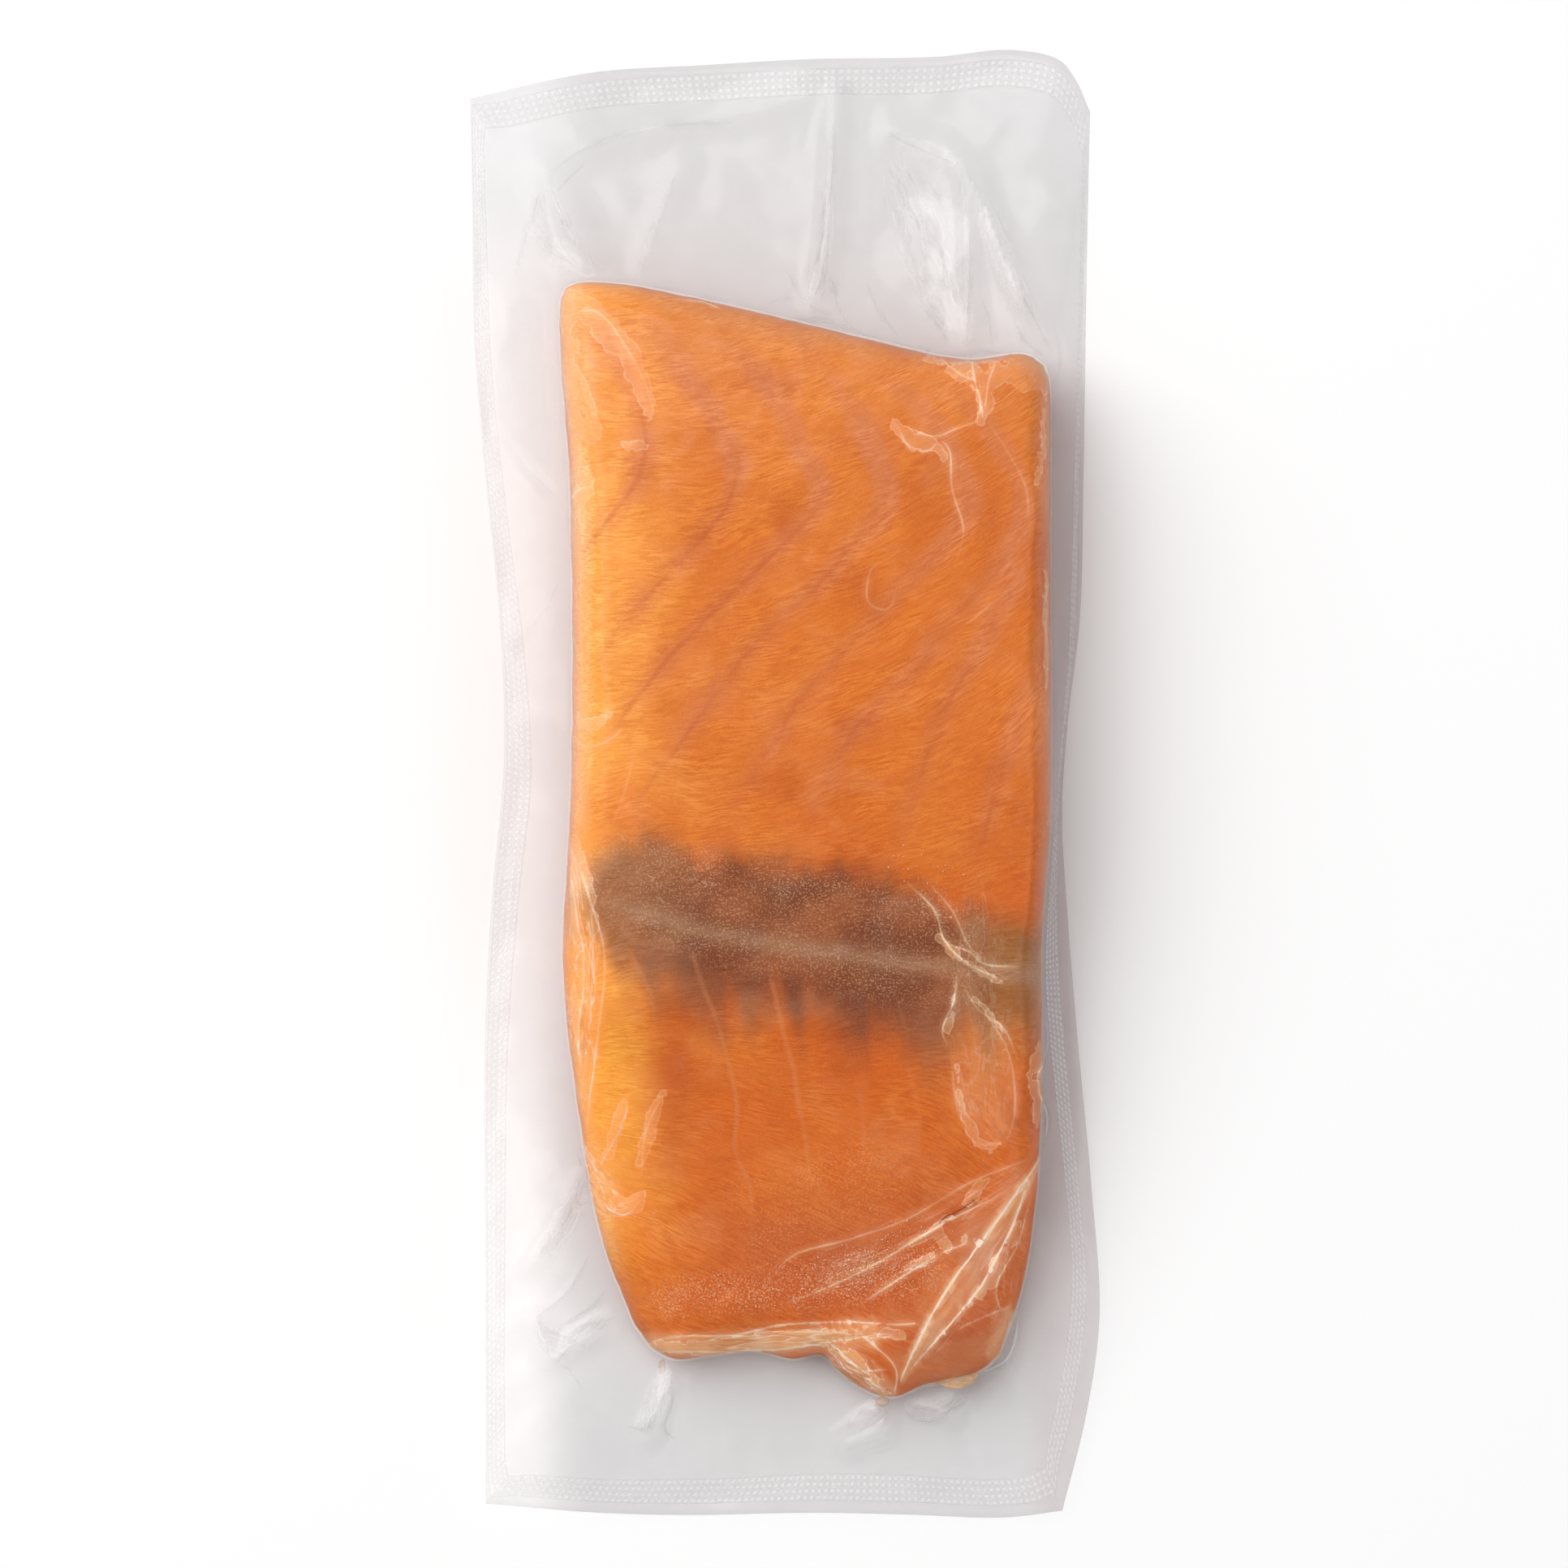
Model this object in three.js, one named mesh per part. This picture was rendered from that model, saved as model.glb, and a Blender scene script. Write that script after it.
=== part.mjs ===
// A skinless salmon portion sealed under vacuum in a clear pouch, modelled as one solid out to
// the film. Millimetres, +Z up. The portion lies skin side up: +Y is its thick back end, -Y its
// thin belly end, and the origin is the middle of the pouch on the surface that it lies on.
import * as THREE from "three";

// The pouch's cut edge, side by side and anticlockwise from the top left corner: x, y and the
// height at which the wavy edge stands.
const POUCH_EDGE = {
  left: [
    [-38.6, 84.2, 3.2], [-38.4, 71.0, 1.8], [-38.2, 54.6, 1.1], [-36.9, 38.6, 1.9],
    [-34.9, 19.0, 2.8], [-34.5, 2.6, 2.6], [-36.0, -14.4, 1.5], [-36.9, -33.4, 1.0],
    [-36.8, -60.0, 1.3], [-36.7, -88.5, 2.4],
  ],
  bottom: [
    [-36.7, -88.5, 2.4], [-22.8, -89.7, 1.2], [-11.8, -90.0, 0.9], [3.3, -89.7, 1.3],
    [15.2, -89.9, 1.6], [27.0, -90.3, 1.0], [34.2, -89.4, 1.9],
  ],
  right: [
    [34.2, -89.4, 1.9], [37.2, -77.4, 1.2], [38.8, -65.4, 1.0], [37.8, -49.4, 0.9],
    [36.2, -32.4, 0.9], [34.8, -15.4, 1.0], [34.2, -3.4, 0.9], [34.9, 7.6, 0.9],
    [36.4, 20.6, 1.1], [36.8, 36.6, 1.3], [37.2, 62.6, 1.6], [37.6, 82.6, 2.4],
  ],
  top: [
    [37.6, 82.6, 2.4], [35.9, 86.4, 2.7], [33.8, 89.0, 2.6], [27.8, 90.3, 1.8],
    [18.6, 89.5, 1.1], [3.3, 89.2, 1.4], [-9.8, 88.5, 0.9], [-24.0, 87.5, 1.4],
    [-38.6, 84.2, 3.2],
  ],
};

// The widest line of the fish, where the two films meet around it: x, y and the line's height.
const FISH_EDGE = {
  left: [
    [-26.9, 60.9, 6.6], [-27.6, 59.2, 6.5], [-27.6, 52.0, 6.2], [-26.6, 38.0, 5.6], [-26.2, 12.0, 5.4],
    [-26.6, -5.0, 5.2], [-27.4, -22.0, 4.8], [-25.8, -38.0, 4.4], [-22.6, -56.0, 3.6],
    [-18.6, -66.6, 3.2],
  ],
  bottom: [
    [-18.6, -66.6, 3.2], [-13.0, -70.8, 3.0], [-6.0, -69.8, 2.9], [3.0, -71.0, 2.9],
    [12.0, -73.6, 3.0], [21.0, -73.6, 3.1], [26.6, -70.2, 3.3],
  ],
  right: [
    [26.6, -70.2, 3.3], [29.4, -62.0, 3.8], [31.2, -50.0, 4.8], [31.8, -34.0, 6.2],
    [31.8, -19.0, 6.9], [32.8, -4.0, 7.2], [32.8, 24.0, 7.0], [32.8, 40.0, 6.8],
    [32.6, 49.4, 6.6], [32.0, 51.4, 6.6],
  ],
  top: [
    [32.0, 51.4, 6.6], [29.6, 52.8, 6.8], [22.0, 52.2, 7.0], [9.0, 55.0, 7.2],
    [-6.0, 58.6, 7.2], [-20.0, 61.4, 7.0], [-25.2, 61.6, 6.7], [-26.9, 60.9, 6.6],
  ],
};

// Heights of the fish above the surface, along its length from the belly end to the back end.
const BACK_HEIGHT = 21.0;
const BELLY_HEIGHT = 10.0;
const TAPER_FROM = { belly: -74, back: 6 }; // the y between which the height falls
const BACK_DROP = 2.2; // how much lower the top lies at the back end itself
const BACK_DROP_FROM = { inner: 34, end: 62 };
const CROWN_DROP = 1.3; // how much lower the top lies at the long sides than along the middle
const HALF_WIDTH = 30;
const MIDDLE_X = 2;

// How far the rounded shoulder reaches inwards from the fish's edge on each side.
const SHOULDER = { left: 5.0, right: 3.6, top: 9.5, bottom: 12.0 };
const SLUMP = { x: 30, y: -62, reach: 13, extra: 7.0 }; // the sloped corner at the belly's right
const SHOULDER_FLAT = 0.86; // under 1 makes the shoulder fuller than a quarter ellipse
const UNDERCUT = 4.5; // how far the lower wall turns in before it meets the flat underside
const SPINE = { top: [1, 34], bottom: [2, -44] }; // the fish's middle line, in plan

// The apron: both films lying together around the fish, out to the cut edge.
const APRON_THICKNESS = 1.0;
const DRAPE = 1.7; // over 1 makes the apron fall steeply at the fish and lie flat at its edge
const RIM_FLAT = 2.2; // how far from the cut edge the folds die out
const ROOT_FADE = 0.25; // the share of the apron's width over which the folds grow from the fish
const LOWEST_FILM = 0.25; // clearance under the apron

// Folds of the film: a ridge along a short line, with its height and the half width of its foot.
const APRON_FOLDS = [
  { line: [[-32.4, 64.0], [-29.2, 75.4]], height: 1.2, foot: 4.2 },
  { line: [[-29.2, 75.4], [-23.0, 62.6]], height: 1.7, foot: 4.0 },
  { line: [[-28.8, 76.1], [-21.8, 79.1], [3.3, 84.6]], height: 0.7, foot: 3.4 },
  { line: [[-12.3, 76.0], [-17.8, 62.4]], height: 0.8, foot: 3.2 },
  { line: [[6.3, 84.6], [5.5, 66.6], [3.3, 57.0]], height: 1.7, foot: 3.0 },
  { line: [[13.0, 80.6], [19.8, 78.1], [22.3, 75.6]], height: 1.2, foot: 2.6 },
  { line: [[22.3, 75.0], [22.8, 66.6], [22.6, 53.6]], height: 1.6, foot: 2.8 },
  { line: [[23.3, 74.0], [27.3, 63.6], [33.3, 51.6]], height: 1.9, foot: 2.8 },
  { line: [[-25.3, -48.4], [-31.0, -59.0]], height: 0.9, foot: 2.4 },
  { line: [[-30.8, -65.9], [-28.3, -70.6], [-20.0, -65.8]], height: 1.4, foot: 2.6 },
  { line: [[-13.3, -71.4], [-16.5, -80.4]], height: 1.5, foot: 2.6 },
  { line: [[13.5, -74.0], [12.0, -79.5], [8.0, -81.0]], height: 2.2, foot: 3.0 },
  { line: [[14.6, -75.0], [21.0, -77.5]], height: 1.3, foot: 2.8 },
];
const FISH_FOLDS = [
  { line: [[31.6, -44.0], [20.8, -61.4], [13.6, -74.6]], height: 1.1, foot: 2.4 },
  { line: [[29.3, -48.4], [25.4, -55.0], [23.3, -62.0]], height: 0.6, foot: 2.2 },
  { line: [[31.6, -44.9], [16.0, -48.6], [3.3, -53.4]], height: 0.4, foot: 2.4 },
];

// How finely the surfaces are divided.
const ALONG = 52; // steps down each long side
const ACROSS = 22; // steps along each short side
const APRON_STEPS = 8;
const SHOULDER_STEPS = 6;
const UNDERCUT_STEPS = 3;

// The points of an outline, anticlockwise, evenly spaced along each of its four sides.
function outline(sides) {
  const steps = { left: ALONG, bottom: ACROSS, right: ALONG, top: ACROSS };
  return Object.entries(sides).flatMap(([side, stations]) => {
    const curve = new THREE.CatmullRomCurve3(
      stations.map(([x, y, z]) => new THREE.Vector3(x, y, z)),
    );
    return curve.getSpacedPoints(steps[side]).slice(0, -1);
  });
}

function smoothStep(from, to, value) {
  return THREE.MathUtils.smoothstep(value, from, to);
}

// The height of the taut film over the middle of the fish.
function crownHeight(x, y) {
  const rise = smoothStep(TAPER_FROM.belly, TAPER_FROM.back, y);
  const side = Math.min(1, Math.abs(x - MIDDLE_X) / HALF_WIDTH);
  const drop = BACK_DROP * smoothStep(BACK_DROP_FROM.inner, BACK_DROP_FROM.end, y);
  return BELLY_HEIGHT + (BACK_HEIGHT - BELLY_HEIGHT) * rise - CROWN_DROP * side * side - drop;
}

// The distance in plan from a point to the nearest place on a line of straight stretches.
function distanceToLine(x, y, line) {
  const stretches = line.slice(1).map(([bx, by], i) => {
    const [ax, ay] = line[i];
    const length2 = (bx - ax) ** 2 + (by - ay) ** 2;
    const share = ((x - ax) * (bx - ax) + (y - ay) * (by - ay)) / length2;
    const t = THREE.MathUtils.clamp(share, 0, 1);
    return Math.hypot(x - ax - t * (bx - ax), y - ay - t * (by - ay));
  });
  return Math.min(...stretches);
}

// The height that a set of folds adds at a point.
function foldRelief(x, y, folds) {
  const heights = folds.map(({ line, height, foot }) => {
    const near = Math.max(0, 1 - distanceToLine(x, y, line) / foot);
    return height * near * near * (3 - 2 * near);
  });
  return Math.max(0, ...heights);
}

// The nearest point of the fish's middle line, which every inset of its edge moves towards.
function spinePoint(point) {
  const [topX, topY] = SPINE.top;
  const [bottomX, bottomY] = SPINE.bottom;
  const share = THREE.MathUtils.clamp((point.y - topY) / (bottomY - topY), 0, 1);
  return new THREE.Vector2(topX + share * (bottomX - topX), topY + share * (bottomY - topY));
}

// The width of the rounded shoulder at a point of the fish's edge.
function shoulderWidth(point) {
  const out = new THREE.Vector2(point.x, point.y).sub(spinePoint(point)).normalize();
  const sideways = out.x > 0 ? SHOULDER.right : SHOULDER.left;
  const endways = out.y > 0 ? SHOULDER.top : SHOULDER.bottom;
  const away = Math.hypot(point.x - SLUMP.x, point.y - SLUMP.y) / SLUMP.reach;
  return sideways * out.x ** 2 + endways * out.y ** 2 + SLUMP.extra * Math.exp(-away * away);
}

// A point moved in plan from the fish's edge towards its middle line.
function inset(point, distance) {
  const middle = spinePoint(point);
  const length = Math.hypot(middle.x - point.x, middle.y - point.y);
  const share = distance / length;
  return new THREE.Vector2(
    point.x + (middle.x - point.x) * share,
    point.y + (middle.y - point.y) * share,
  );
}

// One ring of the apron, at a share of the way from the fish's edge out to the cut edge. The
// face is +1 for the upper side and -1 for the lower side.
function apronRing(fishEdge, pouchEdge, share, face) {
  return fishEdge.map((root, i) => {
    const rim = pouchEdge[i];
    const x = THREE.MathUtils.lerp(root.x, rim.x, share);
    const y = THREE.MathUtils.lerp(root.y, rim.y, share);
    const fall = (1 - share) ** DRAPE;
    const middle = rim.z + (root.z - rim.z) * fall;
    const fromEdge = Math.hypot(rim.x - x, rim.y - y);
    const fade = smoothStep(0, RIM_FLAT, fromEdge) * smoothStep(0, ROOT_FADE, share);
    const fold = foldRelief(x, y, APRON_FOLDS) * fade;
    const height = middle + fold + (face * APRON_THICKNESS) / 2;
    return new THREE.Vector3(x, y, Math.max(LOWEST_FILM, height));
  });
}

// One ring of the wall over the fish, from its edge at turn 0 to the crown at turn 1.
function shoulderRing(fishEdge, turn) {
  const angle = (turn * Math.PI) / 2;
  const inwards = 1 - Math.cos(angle) ** SHOULDER_FLAT;
  const upwards = Math.sin(angle) ** SHOULDER_FLAT;
  return fishEdge.map((root) => {
    const width = shoulderWidth(root);
    const crownAt = inset(root, width);
    const at = inset(root, width * inwards);
    const foot = root.z + APRON_THICKNESS / 2;
    const top = crownHeight(crownAt.x, crownAt.y);
    const fold = foldRelief(at.x, at.y, FISH_FOLDS) * upwards;
    return new THREE.Vector3(at.x, at.y, foot + (top - foot) * upwards + fold);
  });
}

// One ring of the wall under the fish, from its edge at turn 0 to the flat underside at turn 1.
function undercutRing(fishEdge, turn) {
  const angle = (turn * Math.PI) / 2;
  return fishEdge.map((root) => {
    const at = inset(root, UNDERCUT * (1 - Math.cos(angle)));
    const foot = root.z - APRON_THICKNESS / 2;
    return new THREE.Vector3(at.x, at.y, foot * (1 - Math.sin(angle)));
  });
}

// The place on the outline's ring of a point on the rim of the crown's grid.
function rimIndex(row, column) {
  if (column === 0) return row;
  if (row === ALONG) return ALONG + column;
  if (column === ACROSS) return ALONG + ACROSS + (ALONG - row);
  if (row === 0) return (2 * ALONG + ACROSS + (ACROSS - column)) % (2 * (ALONG + ACROSS));
  return -1;
}

// A point of the grid that fills the ring, blended from the ring's four sides.
function crownPoint(ring, row, column) {
  const u = row / ALONG;
  const v = column / ACROSS;
  const at = (r, c) => ring[rimIndex(r, c)];
  const blend = (axis) =>
    (1 - v) * at(row, 0)[axis] + v * at(row, ACROSS)[axis] +
    (1 - u) * at(0, column)[axis] + u * at(ALONG, column)[axis] -
    (1 - u) * (1 - v) * at(0, 0)[axis] - (1 - u) * v * at(0, ACROSS)[axis] -
    u * (1 - v) * at(ALONG, 0)[axis] - u * v * at(ALONG, ACROSS)[axis];
  const x = blend("x");
  const y = blend("y");
  return new THREE.Vector3(x, y, crownHeight(x, y) + foldRelief(x, y, FISH_FOLDS));
}

// Collects points and triangles that share them.
class Skin {
  points = [];
  triangles = [];

  addRing(points) {
    const first = this.points.length;
    this.points.push(...points);
    return points.map((_, i) => first + i);
  }

  quad(a, b, c, d) {
    this.triangles.push(a, b, c, a, c, d);
  }

  // Joins two rings that run anticlockwise, the first of them on the right hand of the second.
  bridge(outer, inner) {
    outer.forEach((_, i) => {
      const next = (i + 1) % outer.length;
      this.quad(outer[i], outer[next], inner[next], inner[i]);
    });
  }

  // Fills the crown's ring with a grid.
  fillWithGrid(ring) {
    const corners = ring.map((index) => this.points[index]);
    const grid = [];
    for (let row = 0; row <= ALONG; row += 1) {
      grid.push([]);
      for (let column = 0; column <= ACROSS; column += 1) {
        const rim = rimIndex(row, column);
        if (rim >= 0) grid[row].push(ring[rim]);
        else grid[row].push(this.points.push(crownPoint(corners, row, column)) - 1);
      }
    }
    for (let row = 0; row < ALONG; row += 1) {
      for (let column = 0; column < ACROSS; column += 1) {
        const below = grid[row + 1];
        this.quad(grid[row][column], below[column], below[column + 1], grid[row][column + 1]);
      }
    }
  }

  // Fills a flat ring from below.
  fillFlat(ring) {
    const contour = ring.map((index) => new THREE.Vector2(this.points[index].x, this.points[index].y));
    THREE.ShapeUtils.triangulateShape(contour, []).forEach(([a, b, c]) => {
      this.triangles.push(ring[a], ring[c], ring[b]);
    });
  }

  geometry() {
    const made = new THREE.BufferGeometry().setFromPoints(this.points);
    made.setIndex(this.triangles);
    made.computeVertexNormals();
    return made;
  }
}

// Even steps from 0 to 1, without the first.
function steps(count) {
  return Array.from({ length: count }, (_, i) => (i + 1) / count);
}

// The sealed pack: apron, shoulder and crown above, apron, undercut and flat spot below.
function sealedPack() {
  const pouchEdge = outline(POUCH_EDGE);
  const fishEdge = outline(FISH_EDGE);
  const skin = new Skin();

  const upperRim = skin.addRing(apronRing(fishEdge, pouchEdge, 1, 1));
  let ring = upperRim;
  steps(APRON_STEPS).forEach((step) => {
    const inner = skin.addRing(apronRing(fishEdge, pouchEdge, 1 - step, 1));
    skin.bridge(ring, inner);
    ring = inner;
  });
  steps(SHOULDER_STEPS).forEach((turn) => {
    const inner = skin.addRing(shoulderRing(fishEdge, turn));
    skin.bridge(ring, inner);
    ring = inner;
  });
  skin.fillWithGrid(ring);

  ring = skin.addRing(apronRing(fishEdge, pouchEdge, 1, -1));
  skin.bridge(ring, upperRim);
  steps(APRON_STEPS).forEach((step) => {
    const inner = skin.addRing(apronRing(fishEdge, pouchEdge, 1 - step, -1));
    skin.bridge(inner, ring);
    ring = inner;
  });
  steps(UNDERCUT_STEPS).forEach((turn) => {
    const inner = skin.addRing(undercutRing(fishEdge, turn));
    skin.bridge(inner, ring);
    ring = inner;
  });
  skin.fillFlat(ring);

  // The middle of the pouch's box becomes the origin.
  const made = skin.geometry();
  made.computeBoundingBox();
  const middle = made.boundingBox.getCenter(new THREE.Vector3());
  made.translate(-middle.x, -middle.y, -made.boundingBox.min.z);
  return made;
}

const filmOverFlesh = new THREE.MeshStandardMaterial({
  name: "film_over_flesh",
  color: 0xdb7a38,
  roughness: 0.22,
  metalness: 0,
});

const pack = new THREE.Mesh(sealedPack(), filmOverFlesh);
pack.name = "salmon_pack";

const group = new THREE.Group();
group.add(pack);

export default group;
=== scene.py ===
"""Dresses a vacuum-packed skinless salmon portion: the fish, the clear pouch round it, the pressed
weld band, the frost and juice under the film, and the studio that it is seen in."""

import logging
import math
from dataclasses import dataclass, field
from enum import Enum
from typing import Callable, Iterable, Sequence

import bpy
import numpy as np
from mathutils import Matrix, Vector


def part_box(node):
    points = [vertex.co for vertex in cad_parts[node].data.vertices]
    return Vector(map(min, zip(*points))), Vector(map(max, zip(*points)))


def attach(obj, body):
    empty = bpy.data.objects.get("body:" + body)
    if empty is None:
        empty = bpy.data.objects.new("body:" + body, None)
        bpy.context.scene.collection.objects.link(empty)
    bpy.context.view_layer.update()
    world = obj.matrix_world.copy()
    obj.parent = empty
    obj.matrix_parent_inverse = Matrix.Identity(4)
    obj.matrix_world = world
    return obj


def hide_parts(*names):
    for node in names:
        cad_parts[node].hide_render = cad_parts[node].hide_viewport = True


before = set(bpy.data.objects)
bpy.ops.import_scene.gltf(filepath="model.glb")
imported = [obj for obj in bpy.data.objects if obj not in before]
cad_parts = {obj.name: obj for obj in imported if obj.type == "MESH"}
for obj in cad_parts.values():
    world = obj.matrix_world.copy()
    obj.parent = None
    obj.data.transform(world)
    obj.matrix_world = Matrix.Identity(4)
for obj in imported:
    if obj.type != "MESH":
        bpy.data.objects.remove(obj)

LOG = logging.getLogger("salmon_pack")
MM = 0.001
NODE = "salmon_pack"
Points = np.ndarray
Place = tuple[float, float]
Line = Sequence[Place]
Trail = Sequence[tuple[float, float, float]]
Socket = bpy.types.NodeSocket
ALONG, ACROSS = 300, 130
CURVE_STEPS = 24
CREASE_VECTORS = 2
CREASE_REACH = 3.0
RELIEF_SHARE = 0.4
FAR = 9.0
TAPER_END = 0.05


class Side(Enum):
    """The four sides of an outline, in the order in which it runs anticlockwise."""

    LEFT = "left"
    BOTTOM = "bottom"
    RIGHT = "right"
    TOP = "top"


class Slot(Enum):
    """The record's material slots."""

    FLESH = "salmon_flesh"
    FILM = "clear_film"
    WELD = "weld_band"
    SCRAP = "pale_flesh"
    JUICE = "fish_juice"
    FROST = "frost"


def smooth(low: float, high: float, value: Points) -> Points:
    """Rises smoothly from 0 at low to 1 at high."""
    share = np.clip((value - low) / (high - low), 0.0, 1.0)
    return share * share * (3.0 - 2.0 * share)


def tapered(share: Points, steepness: float = 5.0) -> Points:
    """Gives 1 along a line, and less towards its two ends."""
    return np.minimum(1.0, steepness * np.minimum(share, 1.0 - share) + TAPER_END)


def rising(count: int) -> list[float]:
    """Gives the shares from 1 / count up to 1."""
    return [step / count for step in range(1, count + 1)]


def falling(count: int) -> list[float]:
    """Gives the shares from just under 1 down to 0."""
    return [step / count for step in range(count - 1, -1, -1)]


def mix(first: Points, second: Points, share: Points) -> Points:
    """Blends two colours, or two lists of colours, by a share for each point."""
    weight = np.asarray(share)[:, None]
    return np.asarray(first) * (1.0 - weight) + np.asarray(second) * weight


def linear(red: int, green: int, blue: int) -> Points:
    """Turns a colour as a screen shows it, from 0 to 255, into a row of linear light."""
    shown = np.array([[red, green, blue]]) / 255.0
    return np.where(shown <= 0.04045, shown / 12.92, ((shown + 0.055) / 1.055) ** 2.4)


def value_noise(x: Points, y: Points, size: float, seed: int) -> Points:
    """Smooth random heights from -1 to 1.

    Args:
        x: First coordinates.
        y: Second coordinates.
        size: Width of a lump, in the coordinates' unit.
        seed: Chooses the pattern.

    Returns:
        One height for each point.
    """
    cells = 97
    lattice = np.random.default_rng(seed).uniform(-1.0, 1.0, (cells, cells))
    u, v = x / size, y / size
    i, j = np.floor(u).astype(int), np.floor(v).astype(int)
    fu, fv = u - i, v - j
    fu, fv = fu * fu * (3 - 2 * fu), fv * fv * (3 - 2 * fv)
    left, right = i % cells, (i + 1) % cells
    below, over = j % cells, (j + 1) % cells
    low = lattice[left, below] * (1 - fu) + lattice[right, below] * fu
    high = lattice[left, over] * (1 - fu) + lattice[right, over] * fu
    return low * (1 - fv) + high * fv


def spline(stations: Points, steps: int) -> Points:
    """Evenly spaced points on a centripetal Catmull-Rom curve.

    Args:
        stations: The points that the curve runs through.
        steps: How many equal steps to take.

    Returns:
        steps + 1 points.
    """
    knots = np.vstack([2 * stations[0] - stations[1], stations, 2 * stations[-1] - stations[-2]])
    share = np.linspace(0.0, 1.0, CURVE_STEPS, endpoint=False)[:, None]
    runs = []
    for p0, p1, p2, p3 in zip(knots[:-3], knots[1:-2], knots[2:-1], knots[3:]):
        pairs = ((p0, p1), (p1, p2), (p2, p3))
        d0, d1, d2 = (max(np.linalg.norm(b - a) ** 0.5, 1e-6) for a, b in pairs)
        t1 = ((p1 - p0) / d0 - (p2 - p0) / (d0 + d1) + (p2 - p1) / d1) * d1
        t2 = ((p2 - p1) / d1 - (p3 - p1) / (d1 + d2) + (p3 - p2) / d2) * d1
        cubic = 2 * p1 - 2 * p2 + t1 + t2
        square = -3 * p1 + 3 * p2 - 2 * t1 - t2
        runs.append(p1 + t1 * share + square * share**2 + cubic * share**3)
    fine = np.vstack(runs + [stations[-1:]])
    length = np.concatenate([[0.0], np.cumsum(np.linalg.norm(np.diff(fine, axis=0), axis=1))])
    wanted = np.linspace(0.0, length[-1], steps + 1)
    return np.column_stack([np.interp(wanted, length, fine[:, k]) for k in range(fine.shape[1])])


def line_distance(x: Points, y: Points, line: Points, reach: float) -> tuple[Points, Points]:
    """Distance in plan to a line of straight stretches, and the share of the way along it.

    Args:
        x: Across coordinates of the points.
        y: Along coordinates of the points.
        line: The line's corners.
        reach: Points further off than this keep a distance of twice the reach.

    Returns:
        The distances, above 0 on the line's left and below 0 on its right, and the shares.
    """
    distance = np.full(x.shape, 2.0 * reach)
    share = np.zeros(x.shape)
    low, high = line.min(axis=0) - reach, line.max(axis=0) + reach
    near = np.flatnonzero((x > low[0]) & (x < high[0]) & (y > low[1]) & (y < high[1]))
    if near.size == 0:
        return distance, share
    px, py = x[near], y[near]
    best, where = np.full(px.shape, 2.0 * reach), np.zeros(px.shape)
    lengths = np.linalg.norm(np.diff(line, axis=0), axis=1)
    total, passed = lengths.sum(), 0.0
    for a, b, length in zip(line[:-1], line[1:], lengths):
        run = b - a
        t = np.clip(((px - a[0]) * run[0] + (py - a[1]) * run[1]) / max(length**2, 1e-9), 0.0, 1.0)
        d = np.hypot(px - a[0] - t * run[0], py - a[1] - t * run[1])
        left = run[0] * (py - a[1]) - run[1] * (px - a[0]) >= 0.0
        closer = d < np.abs(best)
        best = np.where(closer, np.where(left, d, -d), best)
        where = np.where(closer, (passed + t * length) / total, where)
        passed += length
    distance[near], share[near] = best, where
    return distance, share


@dataclass(frozen=True)
class Crease:
    """A line along which the film stands up in a sharp ridge, in millimetres, and the painted highlight
    along its crest.
    """

    line: Line
    height: float
    foot: float
    gleam: float

    def curve(self) -> Points:
        """Gives the crest as a line of short stretches."""
        return spline(np.array(self.line, float), 5 * (len(self.line) - 1))

    def relief(self, x: Points, y: Points, reach: float) -> tuple[Points, Points, Points]:
        """Gives the ridge's height, the signed distance to its crest and its painted highlight."""
        distance, share = line_distance(x, y, self.curve(), CREASE_REACH)
        taper = tapered(share)
        bright = np.where(np.abs(distance) < reach, self.gleam * taper, 0.0)
        ridge = RELIEF_SHARE * self.height * taper * smooth(self.foot, 0.0, np.abs(distance))
        return ridge, distance, bright


@dataclass
class CreaseField:
    """Creases sorted into channels, so that close ones stay apart."""

    creases: Sequence[Crease]
    channels: int = 3 * CREASE_VECTORS
    reach: float = 0.85

    def sorted_channels(self) -> list[int]:
        """Gives each crease the channel in which it has the fewest close neighbours."""
        curves = [crease.curve() for crease in self.creases]
        chosen: list[int] = []
        for number, curve in enumerate(curves):
            clashes = np.zeros(self.channels)
            for other, channel in zip(curves[:number], chosen):
                apart = np.linalg.norm(curve[:, None] - other[None], axis=2).min()
                clashes[channel] += max(0.0, CREASE_REACH - apart)
            chosen.append(int(np.argmin(clashes)))
        return chosen

    def layers(self, x: Points, y: Points) -> tuple[Points, Points, Points, Points]:
        """Works out what the film's finish reads.

        Args:
            x: Across coordinates of the points.
            y: Along coordinates of the points.

        Returns:
            The relief, the signed distance and the painted highlight in each channel, and the
            painted highlight of the crease that is the most visible.
        """
        lift = np.zeros(x.shape)
        place, gleam = np.full((len(x), self.channels), FAR), np.zeros((len(x), self.channels))
        for crease, channel in zip(self.creases, self.sorted_channels()):
            height, distance, bright = crease.relief(x, y, self.reach)
            closer = np.abs(distance) < np.abs(place[:, channel])
            place[closer, channel] = distance[closer]
            gleam[closer, channel] = bright[closer]
            lift = np.maximum(lift, height)
        seen = gleam * np.clip(1.0 - np.abs(place) / self.reach, 0.0, 1.0)
        strongest = np.take_along_axis(gleam, seen.argmax(axis=1)[:, None], axis=1)[:, 0]
        return lift, place, gleam, strongest


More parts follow.
